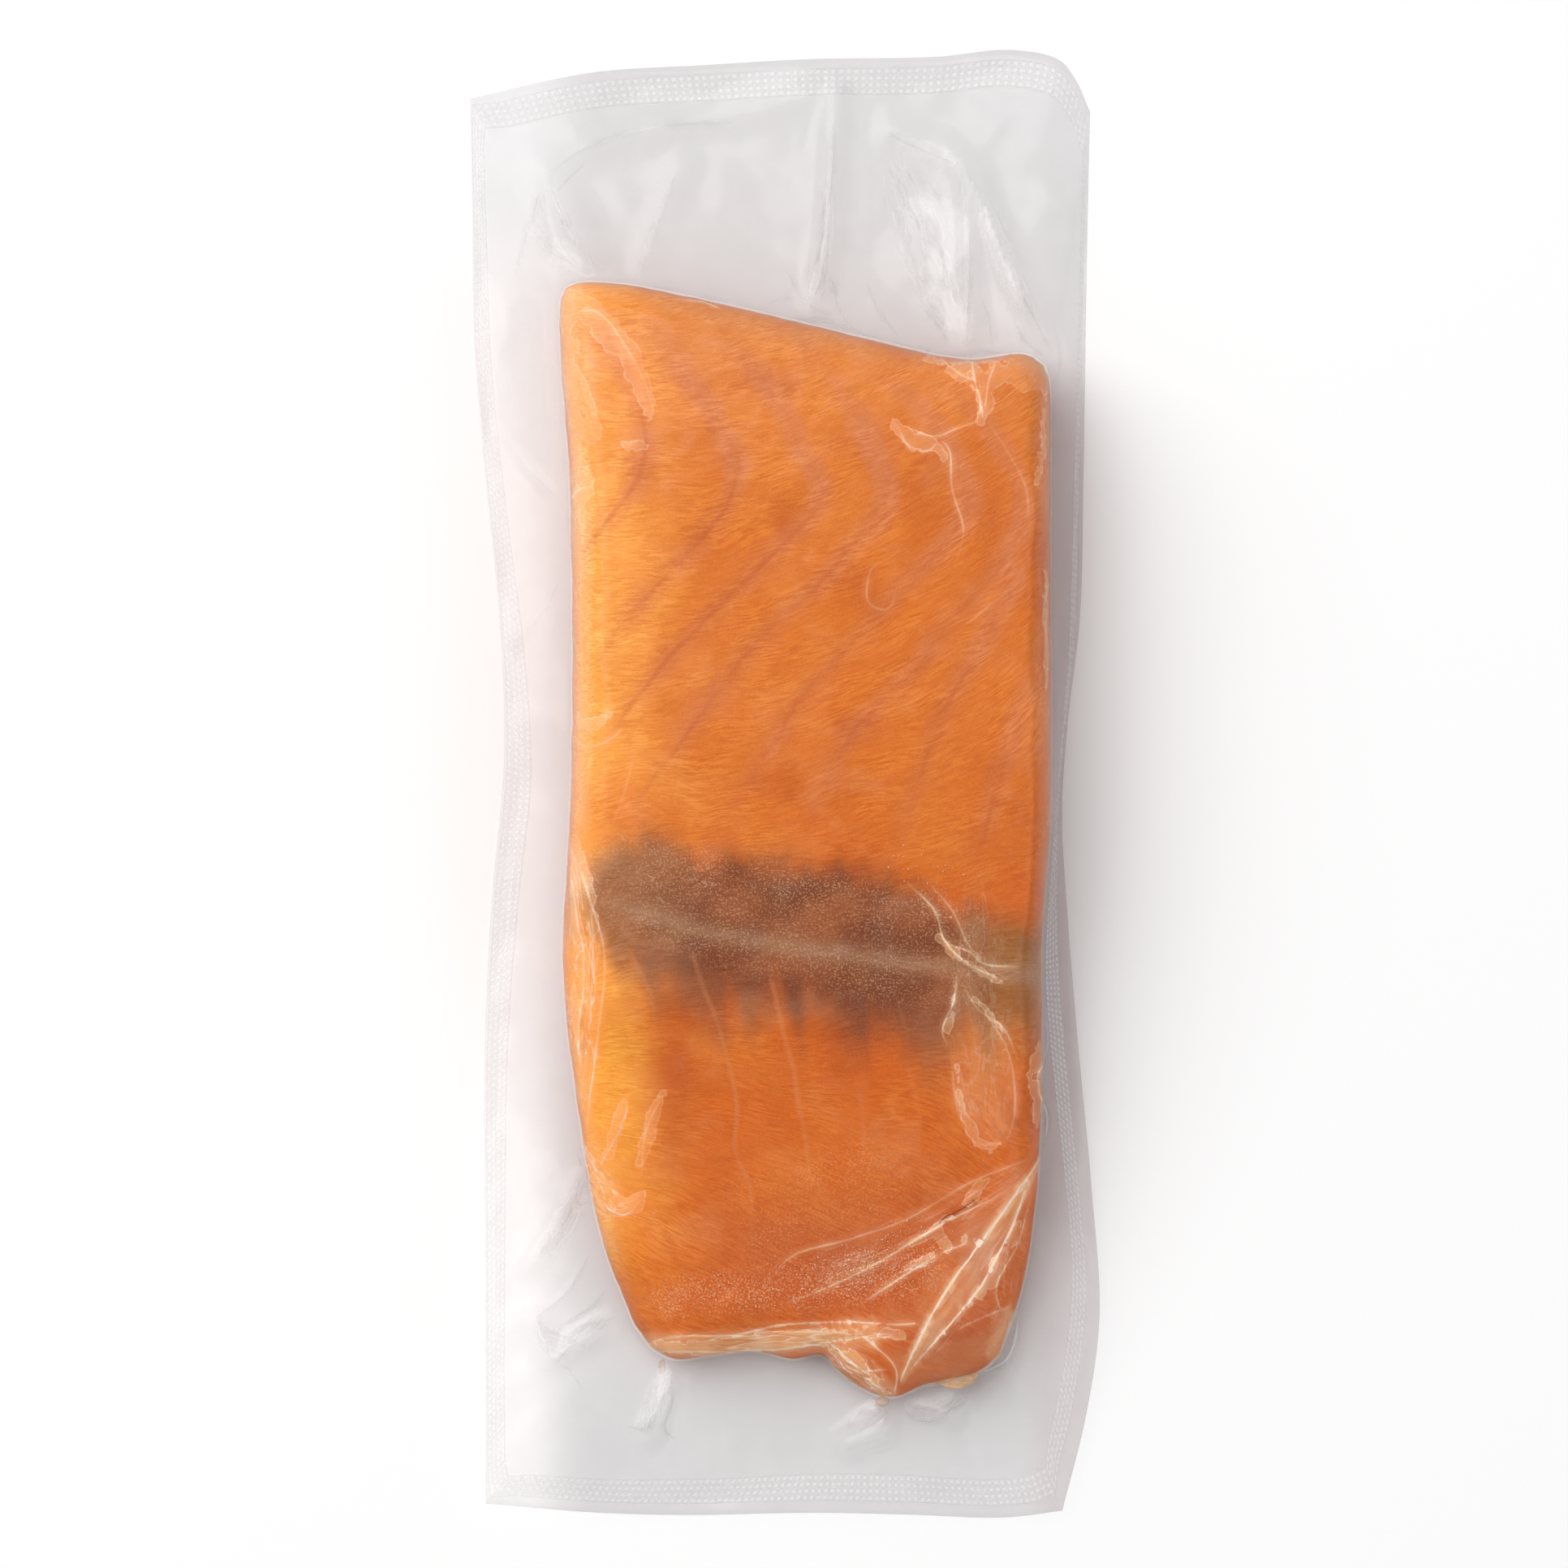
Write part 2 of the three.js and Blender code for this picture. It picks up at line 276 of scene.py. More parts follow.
@dataclass(frozen=True)
class AirTrail:
    """Air under the film, or a place free of it: a chain of x, y and half width."""

    trail: Trail

    def depth(self, x: Points, y: Points) -> Points:
        """Gives how far inside the outline each point lies, below 0 outside."""
        stations = np.array(self.trail, float)
        if len(stations) == 1:
            return stations[0, 2] - np.hypot(x - stations[0, 0], y - stations[0, 1])
        curve = spline(stations, 4 * (len(stations) - 1))
        reach = stations[:, 2].max() + 2.0
        distance, share = line_distance(x, y, curve[:, :2], reach)
        width = np.interp(share, np.linspace(0, 1, len(curve)), curve[:, 2])
        return width - np.abs(distance)


@dataclass(frozen=True)
class Crumple:
    """A strip of film gathered into fine folds that run along a line, in millimetres."""

    trail: Trail
    folds: float
    length: float
    strength: float

    def layers(self, x: Points, y: Points, number: int) -> tuple[Points, Points]:
        """Works out the strip's own coordinates.

        Args:
            x: Across coordinates of the points.
            y: Along coordinates of the points.
            number: Keeps the folds of one strip unlike those of another.

        Returns:
            Coordinates that run along and across the folds, and how much the folds show.
        """
        stations = np.array(self.trail, float)
        curve = spline(stations, 6 * (len(stations) - 1))
        distance, share = line_distance(x, y, curve[:, :2], stations[:, 2].max() + 1.5)
        half = np.interp(share, np.linspace(0, 1, len(curve)), curve[:, 2])
        long = np.linalg.norm(np.diff(curve[:, :2], axis=0), axis=1).sum()
        across = distance / half
        ends = tapered(share, 6.0)
        place = np.column_stack([
            share * long / self.length, 0.5 * across * self.folds, np.full(len(x), 3.7 * number)
        ])
        return place, self.strength * ends * smooth(1.2, 0.5, np.abs(across))


def gathered(crumples: Sequence[Crumple], x: Points, y: Points) -> tuple[Points, Points]:
    """Gives the coordinates and the strength of the crumple that shows the most at each point."""
    place, shown, second = np.zeros((len(x), 3)), np.zeros(len(x)), np.zeros(len(x))
    for number, crumple in enumerate(crumples):
        own, strength = crumple.layers(x, y, number)
        more = strength > shown
        second = np.where(more, shown, np.maximum(second, strength))
        place[more], shown[more] = own[more], strength[more]
    return place, shown * smooth(0.0, 0.15, shown - second)


def deepest(trails: Sequence[AirTrail], x: Points, y: Points) -> Points:
    """Gives how far inside the nearest of several outlines each point lies, at least -2."""
    depth = np.full(x.shape, -2.0)
    for trail in trails:
        depth = np.maximum(depth, trail.depth(x, y))
    return depth


@dataclass
class Shell:
    """Collects points and faces that share them."""

    points: list[Points] = field(default_factory=list)
    quads: list[Points] = field(default_factory=list)
    count: int = 0

    def add(self, points: Points) -> Points:
        """Adds points and returns their numbers."""
        self.points.append(points)
        first, self.count = self.count, self.count + len(points)
        return np.arange(first, self.count)

    def bridge(self, outer: Points, inner: Points) -> None:
        """Joins two rings that run anticlockwise as seen from the side that faces out."""
        self.quads.append(np.column_stack([outer, np.roll(outer, -1), np.roll(inner, -1), inner]))

    def climb(self, ring: Points, rings: Iterable[Points], upper: bool = True) -> Points:
        """Adds ring after ring, each joined to the one before.

        Args:
            ring: The numbers of the first ring's points.
            rings: The points of the rings that follow.
            upper: Whether the faces look up, or else down.

        Returns:
            The numbers of the last ring's points.
        """
        for points in rings:
            inner = self.add(points)
            self.bridge(*((ring, inner) if upper else (inner, ring)))
            ring = inner
        return ring

    def all_points(self) -> Points:
        """Gives the points as one list."""
        return np.vstack(self.points)

    def all_quads(self) -> Points:
        """Gives the quads as one list."""
        return np.vstack(self.quads)


def point_normals(points: Points, quads: Points) -> Points:
    """Gives the outward direction at each point, averaged over its quads."""
    a, b, c, d = (points[quads[:, k]] for k in range(4))
    across = np.cross(c - a, d - b)
    normals = np.zeros_like(points)
    for k in range(4):
        for axis in range(3):
            normals[:, axis] += np.bincount(quads[:, k], across[:, axis], len(points))
    return normals / np.maximum(np.linalg.norm(normals, axis=1), 1e-12)[:, None]


@dataclass
class PackForm:
    """The form that the fish and the film share, in millimetres."""

    pouch_edge: dict[Side, Trail] = field(
        default_factory=lambda: {
            Side.LEFT: [
                (-38.6, 84.2, 3.2), (-38.4, 71.0, 1.8), (-38.2, 54.6, 1.1), (-36.9, 38.6, 1.9),
                (-34.9, 19.0, 2.8), (-34.5, 2.6, 2.6), (-36.0, -14.4, 1.5), (-36.9, -33.4, 1.0),
                (-36.8, -60.0, 1.3), (-36.7, -88.5, 2.4),
            ],
            Side.BOTTOM: [
                (-36.7, -88.5, 2.4), (-22.8, -89.7, 1.2), (-11.8, -90.0, 0.9), (3.3, -89.7, 1.3),
                (15.2, -89.9, 1.6), (27.0, -90.3, 1.0), (34.2, -89.4, 1.9),
            ],
            Side.RIGHT: [
                (34.2, -89.4, 1.9), (37.2, -77.4, 1.2), (38.8, -65.4, 1.0), (37.8, -49.4, 0.9),
                (36.2, -32.4, 0.9), (34.8, -15.4, 1.0), (34.2, -3.4, 0.9), (34.9, 7.6, 0.9),
                (36.4, 20.6, 1.1), (36.8, 36.6, 1.3), (37.2, 62.6, 1.6), (37.6, 82.6, 2.4),
            ],
            Side.TOP: [
                (37.6, 82.6, 2.4), (35.9, 86.4, 2.7), (33.8, 89.0, 2.6), (27.8, 90.3, 1.8),
                (18.6, 89.5, 1.1), (3.3, 89.2, 1.4), (-9.8, 88.5, 0.9), (-24.0, 87.5, 1.4),
                (-38.6, 84.2, 3.2),
            ],
        }
    )
    fish_edge: dict[Side, Trail] = field(
        default_factory=lambda: {
            Side.LEFT: [
                (-26.9, 60.9, 6.6), (-27.6, 59.2, 6.5), (-27.6, 52.0, 6.2), (-26.6, 38.0, 5.6),
                (-26.2, 12.0, 5.4), (-26.6, -5.0, 5.2), (-27.4, -22.0, 4.8), (-25.8, -38.0, 4.4),
                (-22.6, -56.0, 3.6), (-18.6, -66.6, 3.2),
            ],
            Side.BOTTOM: [
                (-18.6, -66.6, 3.2), (-16.4, -69.4, 3.1), (-13.6, -70.9, 3.0), (-9.0, -70.5, 3.0),
                (-4.0, -69.9, 2.9), (1.0, -70.9, 2.9), (4.6, -70.5, 2.9), (6.4, -72.2, 2.9),
                (9.6, -74.6, 2.9), (13.4, -75.6, 3.0), (17.2, -74.1, 3.0), (21.4, -73.2, 3.1),
                (24.6, -72.0, 3.2), (26.6, -70.2, 3.3),
            ],
            Side.RIGHT: [
                (26.6, -70.2, 3.3), (29.4, -62.0, 3.8), (31.2, -50.0, 4.8), (31.8, -34.0, 6.2),
                (31.8, -19.0, 6.9), (32.8, -4.0, 7.2), (32.8, 24.0, 7.0), (32.8, 40.0, 6.8),
                (32.6, 49.4, 6.6), (32.0, 51.4, 6.6),
            ],
            Side.TOP: [
                (32.0, 51.4, 6.6), (29.6, 52.8, 6.8), (22.0, 52.2, 7.0), (9.0, 55.0, 7.2),
                (-6.0, 58.6, 7.2), (-20.0, 61.4, 7.0), (-25.2, 61.6, 6.7), (-26.9, 60.9, 6.6),
            ],
        }
    )
    back_height: float = 21.0
    belly_height: float = 10.0
    taper: tuple[float, float] = (-74.0, 6.0)
    back_drop: float = 2.2
    back_drop_from: tuple[float, float] = (34.0, 62.0)
    crown_drop: float = 1.3
    half_width: float = 30.0
    middle_x: float = 2.0
    shoulder: dict[Side, float] = field(
        default_factory=lambda: {Side.LEFT: 5.0, Side.RIGHT: 3.6, Side.TOP: 9.5, Side.BOTTOM: 12.0}
    )
    slump: tuple[float, float, float, float] = (30.0, -62.0, 13.0, 7.0)
    shoulder_flat: float = 0.86
    undercut: float = 4.5
    spine_top: Place = (1.0, 34.0)
    spine_bottom: Place = (2.0, -44.0)
    drape: float = 1.7
    rim_flat: float = 2.2
    root_fade: float = 0.25
    lowest_film: float = 0.45
    apron_folds: Sequence[tuple[Line, float, float]] = (
        (((-32.4, 64.0), (-29.2, 75.4)), 1.2, 4.2),
        (((-29.2, 75.4), (-23.0, 62.6)), 1.7, 4.0),
        (((-28.8, 76.1), (-21.8, 79.1), (3.3, 84.6)), 0.7, 3.4),
        (((-12.3, 76.0), (-17.8, 62.4)), 0.8, 3.2),
        (((6.3, 84.6), (5.5, 66.6), (3.3, 57.0)), 1.7, 3.0),
        (((13.0, 80.6), (19.8, 78.1), (22.3, 75.6)), 1.2, 2.6),
        (((22.3, 75.0), (22.8, 66.6), (22.6, 53.6)), 1.6, 2.8),
        (((23.3, 74.0), (27.3, 63.6), (33.3, 51.6)), 1.9, 2.8),
        (((-25.3, -48.4), (-31.0, -59.0)), 0.9, 2.4),
        (((-30.8, -65.9), (-28.3, -70.6), (-20.0, -65.8)), 1.4, 2.6),
        (((-13.3, -71.4), (-16.5, -80.4)), 1.5, 2.6),
        (((13.5, -74.0), (12.0, -79.5), (8.0, -81.0)), 2.2, 3.0),
        (((14.6, -75.0), (21.0, -77.5)), 1.3, 2.8),
    )

    def outline(self, sides: dict, along: int, across: int) -> Points:
        """Gives an outline's points, evenly spaced along each side.

        Args:
            sides: The stations of each side.
            along: Steps down each long side.
            across: Steps along each short side.

        Returns:
            The points, anticlockwise from the top left corner.
        """
        steps = {Side.LEFT: along, Side.BOTTOM: across, Side.RIGHT: along, Side.TOP: across}
        return np.vstack([spline(np.array(sides[side], float), steps[side])[:-1] for side in Side])

    def crown(self, x: Points, y: Points) -> Points:
        """Gives the height of the taut film over the middle of the fish."""
        rise = smooth(*self.taper, y)
        side = np.minimum(1.0, np.abs(x - self.middle_x) / self.half_width)
        drop = self.back_drop * smooth(*self.back_drop_from, y)
        span = self.back_height - self.belly_height
        uneven = 0.12 * (value_noise(x, y, 7.5, 3) - 1.0) + 0.05 * (value_noise(x, y, 2.6, 4) - 1.0)
        return self.belly_height + span * rise - self.crown_drop * side**2 - drop + uneven

    def fold_relief(self, x: Points, y: Points) -> Points:
        """Gives the height of the apron's large folds."""
        relief = np.zeros(x.shape)
        for line, height, foot in self.apron_folds:
            distance, _ = line_distance(x, y, np.array(line, float), foot)
            relief = np.maximum(relief, height * smooth(foot, 0.0, np.abs(distance)))
        return relief

    def spine(self, edge: Points) -> Points:
        """Gives the nearest point of the fish's middle line to each point of its edge."""
        top, bottom = np.array(self.spine_top), np.array(self.spine_bottom)
        share = np.clip((edge[:, 1] - top[1]) / (bottom[1] - top[1]), 0.0, 1.0)[:, None]
        return top + share * (bottom - top)

    def shoulder_width(self, edge: Points) -> Points:
        """Gives how far the rounded shoulder reaches in from each point of the edge."""
        out = edge[:, :2] - self.spine(edge)
        out /= np.linalg.norm(out, axis=1)[:, None]
        sideways = np.where(out[:, 0] > 0, self.shoulder[Side.RIGHT], self.shoulder[Side.LEFT])
        endways = np.where(out[:, 1] > 0, self.shoulder[Side.TOP], self.shoulder[Side.BOTTOM])
        x, y, reach, extra = self.slump
        away = np.hypot(edge[:, 0] - x, edge[:, 1] - y) / reach
        extra = extra * np.exp(-(away**2))
        corners = np.array([self.fish_edge[side][0][:2] for side in Side])
        from_corner = np.linalg.norm(edge[:, None, :2] - corners[None], axis=2).min(axis=1)
        uneven = 0.9 * value_noise(edge[:, 0], edge[:, 1], 8.0, 8)
        uneven += 0.45 * value_noise(edge[:, 0], edge[:, 1], 3.1, 9)
        extra += uneven * smooth(1.0, 9.0, from_corner)
        return sideways * out[:, 0] ** 2 + endways * out[:, 1] ** 2 + extra

    def inset(self, edge: Points, distance: Points) -> Points:
        """Moves the edge's points in plan towards the middle line."""
        towards = self.spine(edge) - edge[:, :2]
        length = np.linalg.norm(towards, axis=1)
        return edge[:, :2] + towards * (distance / length)[:, None]

    def apron_ring(self, fish: Points, pouch: Points, share: Points, lift: Points) -> Points:
        """Gives one ring of the apron.

        Args:
            fish: The fish's edge.
            pouch: The cut edge.
            share: The share of the way out from the fish, for each point.
            lift: The height over the apron's middle, for each point.

        Returns:
            The ring's points.
        """
        share = np.broadcast_to(share, fish.shape[:1])
        xy = fish[:, :2] + (pouch[:, :2] - fish[:, :2]) * share[:, None]
        x, y = xy[:, 0], xy[:, 1]
        middle = pouch[:, 2] + (fish[:, 2] - pouch[:, 2]) * (1.0 - share) ** self.drape
        from_edge = np.hypot(pouch[:, 0] - x, pouch[:, 1] - y)
        fade = smooth(0.0, self.rim_flat, from_edge) * smooth(0.0, self.root_fade, share)
        ripple = 0.35 * value_noise(x, y, 9.0, 5) + 0.16 * value_noise(x, y, 3.7, 6)
        height = middle + (self.fold_relief(x, y) + ripple) * fade
        return np.column_stack([x, y, np.maximum(self.lowest_film, height) + lift])

    def shoulder_ring(self, fish: Points, turn: float, half: float) -> Points:
        """Gives one ring of the wall over the fish, from its edge at 0 to the crown at 1."""
        angle = turn * math.pi / 2
        inwards = 1.0 - math.cos(angle) ** self.shoulder_flat
        upwards = math.sin(angle) ** self.shoulder_flat
        width = self.shoulder_width(fish)
        crown_at, at = self.inset(fish, width), self.inset(fish, width * inwards)
        foot = fish[:, 2] + half
        top = self.crown(crown_at[:, 0], crown_at[:, 1])
        return np.column_stack([at, foot + (top - foot) * upwards])

    def undercut_ring(self, fish: Points, turn: float, half: float) -> Points:
        """Gives one ring of the wall under the fish, down to the flat underside at 1."""
        angle = turn * math.pi / 2
        at = self.inset(fish, np.full(len(fish), self.undercut * (1.0 - math.cos(angle))))
        return np.column_stack([at, (fish[:, 2] - half) * (1.0 - math.sin(angle))])

    def fill_grid(self, shell: Shell, ring: Points, along: int, across: int, upper: bool) -> None:
        """Fills a ring with a grid blended from its four sides.

        Args:
            shell: Takes the new points and faces.
            ring: The numbers of the ring's points.
            along: Steps down each long side.
            across: Steps along each short side.
            upper: Whether the grid is the crown, or else the underside.
        """
        rim = shell.all_points()[ring]
        numbers = np.zeros((along + 1, across + 1), int)
        numbers[:, 0] = ring[: along + 1]
        numbers[along, :] = ring[along : along + across + 1]
        numbers[::-1, across] = ring[along + across : 2 * along + across + 1]
        numbers[0, ::-1] = np.append(ring[2 * along + across :], ring[0])
        place = np.zeros((along + 1, across + 1, 2))
        order = {number: k for k, number in enumerate(ring)}
        for rows, columns in ((slice(None), [0, across]), ([0, along], slice(None))):
            part = numbers[rows, columns]
            place[rows, columns] = rim[np.vectorize(order.get)(part)][..., :2]
        u = np.linspace(0, 1, along + 1)[:, None, None]
        v = np.linspace(0, 1, across + 1)[None, :, None]
        blend = (1 - v) * place[:, :1] + v * place[:, -1:] + (1 - u) * place[:1] + u * place[-1:]
        blend -= (1 - u) * (1 - v) * place[0, 0] + (1 - u) * v * place[0, -1]
        blend -= u * (1 - v) * place[-1, 0] + u * v * place[-1, -1]
        inner = blend[1:-1, 1:-1].reshape(-1, 2)
        height = self.crown(inner[:, 0], inner[:, 1]) if upper else np.zeros(len(inner))
        added = shell.add(np.column_stack([inner, height]))
        numbers[1:-1, 1:-1] = added.reshape(along - 1, across - 1)
        a, b, c, d = numbers[:-1, :-1], numbers[1:, :-1], numbers[1:, 1:], numbers[:-1, 1:]
        corners = (a, b, c, d) if upper else (d, c, b, a)
        shell.quads.append(np.column_stack([corner.ravel() for corner in corners]))


class Board:
    """A material's nodes, added and linked by short calls."""

    def __init__(self, name: str) -> None:
        """Starts a material with one Principled shader."""
        self.material = bpy.data.materials.new(name)
        self.material.use_nodes = True
        self.tree = self.material.node_tree
        self.shader = next(n for n in self.tree.nodes if n.type == "BSDF_PRINCIPLED")

    def set(self, **values: object) -> None:
        """Sets the shader's own sockets, named with underscores for spaces."""
        for name, value in values.items():
            self.shader.inputs[name.replace("_", " ")].default_value = value

    def node(self, kind: str, inputs: dict | None = None, **settings: object) -> bpy.types.Node:
        """Adds a node.

        Args:
            kind: The node's type.
            inputs: Values or sockets for its inputs, by name or number.
            settings: The node's own properties.

        Returns:
            The node.
        """
        made = self.tree.nodes.new(kind)
        for name, value in settings.items():
            setattr(made, name, value)
        for key, value in (inputs or {}).items():
            self.feed(made.inputs[key], value)
        return made

    def feed(self, socket: Socket, value: object) -> None:
        """Links a socket to an input, or sets its value."""
        if isinstance(value, Socket):
            self.tree.links.new(value, socket)
        else:
            socket.default_value = value

    def drive(self, name: str, value: object) -> None:
        """Links one of the shader's inputs."""
        self.feed(self.shader.inputs[name], value)

    def attribute(self, name: str) -> bpy.types.Node:
        """Adds a node that reads one of the mesh's own attributes."""
        return self.node("ShaderNodeAttribute", attribute_name=name)

    def math(self, operation: str, first: object, second: object = 0.0) -> Socket:
        """Adds a sum of two values and returns its result."""
        made = self.node("ShaderNodeMath", {0: first, 1: second}, operation=operation)
        return made.outputs[0]

    def vector(self, operation: str, *values: object) -> Socket:
        """Adds a sum of vectors and returns its result."""
        made = self.node("ShaderNodeVectorMath", dict(enumerate(values)), operation=operation)
        return made.outputs[0]

    def ramp(
        self, value: object, low: float, high: float, start: float = 0.0, end: float = 1.0
    ) -> Socket:
        """Maps a value's range smoothly onto another and returns the result."""
        inputs = {"Value": value, "From Min": low, "From Max": high, "To Min": start, "To Max": end}
        return self.node("ShaderNodeMapRange", inputs, interpolation_type="SMOOTHSTEP").outputs[0]

    def noise(self, vector: object, scale: float, detail: float = 2.0, roughness: float = 0.5) -> Socket:
        """Adds a noise and returns its value."""
        inputs = {"Vector": vector, "Scale": scale, "Detail": detail, "Roughness": roughness}
        return self.node("ShaderNodeTexNoise", inputs).outputs[0]

    def blend(self, share: object, first: object, second: object, kind: str = "MIX") -> Socket:
        """Mixes two colours and returns the result."""
        made = self.node("ShaderNodeMix", data_type="RGBA", blend_type=kind)
        self.feed(made.inputs[0], share)
        self.feed(made.inputs[6], first)
        self.feed(made.inputs[7], second)
        return made.outputs[2]

    def bump(self, height: object, strength: float, distance: float) -> None:
        """Gives the shader a fine relief."""
        inputs = {"Height": height, "Strength": strength, "Distance": distance}
        self.drive("Normal", self.node("ShaderNodeBump", inputs).outputs[0])

    def stretched(self, vector: object, scale: tuple[float, float, float]) -> Socket:
        """Scales a coordinate differently along its axes."""
        return self.node("ShaderNodeMapping", {"Vector": vector, "Scale": scale}).outputs[0]


@dataclass(frozen=True)
class FleshFinish:
    """Moist raw flesh: colour from the mesh, with fine fibres along the muscle."""

    roughness: float = 0.42
    coat: float = 0.12
    subsurface: float = 0.1
    fibre_contrast: float = 0.17
    seam_width: float = 0.55
    seam_wobble: float = 0.1
    dark_seam: tuple[float, ...] = (0.5, 0.09, 0.025, 1.0)
    pale_seam: tuple[float, ...] = (0.74, 0.3, 0.13, 1.0)

    def material(self) -> bpy.types.Material:
        """Makes the material."""
        board = Board("salmon_flesh")
        board.set(
            Roughness=self.roughness, Coat_Weight=self.coat, Coat_Roughness=0.2, IOR=1.33,
            Specular_IOR_Level=0.35, Subsurface_Weight=self.subsurface, Subsurface_Scale=0.0012,
            Subsurface_Radius=(1.0, 0.42, 0.16),
        )
        colour = board.attribute("flesh_colour").outputs["Color"]
        fibre = board.attribute("fibre").outputs["Vector"]
        streak = board.noise(board.stretched(fibre, (0.5, 4.2, 0.9)), 1.0, 3.0, 0.66)
        fine = board.noise(board.stretched(fibre, (1.1, 6.4, 2.0)), 1.0, 1.0, 0.6)
        grain = board.noise(board.stretched(fibre, (6.0, 7.0, 7.0)), 1.0, 1.0, 0.7)
        patch = board.noise(board.stretched(fibre, (0.16, 0.3, 0.3)), 1.0, 2.0, 0.6)
        contrast = self.fibre_contrast
        light = board.ramp(streak, 0.36, 0.64, -1.2 * contrast, contrast)
        light = board.math("MULTIPLY", light, board.ramp(patch, 0.36, 0.64, 0.35, 1.15))
        light = board.math("ADD", light, board.ramp(patch, 0.34, 0.66, 0.96, 1.04))
        light = board.math("ADD", light, board.ramp(fine, 0.54, 0.7, -0.02, 0.09))
        light = board.math("MULTIPLY", light, board.ramp(grain, 0.25, 0.75, 0.91, 1.09))
        red = board.math("POWER", light, 0.5)
        green = board.math("POWER", light, 1.15)
        blue = board.math("POWER", light, 2.0)
        weave = board.node("ShaderNodeCombineColor", {0: red, 1: green, 2: blue}).outputs[0]
        colour = board.blend(1.0, colour, weave, "MULTIPLY")
        layers = board.attribute("seam").outputs["Vector"]
        seam = board.node("ShaderNodeSeparateXYZ", {0: layers}).outputs
        wobble = board.ramp(streak, 0.2, 0.8, -self.seam_wobble, self.seam_wobble)
        off = board.math("ADD", seam[0], wobble)
        near = board.ramp(board.math("ABSOLUTE", off), 0.0, self.seam_width, 1.0, 0.0)
        colour = board.blend(board.math("MULTIPLY", near, seam[1]), colour, self.dark_seam)
        colour = board.blend(board.math("MULTIPLY", near, seam[2]), colour, self.pale_seam)
        board.drive("Base Color", colour)
        return board.material


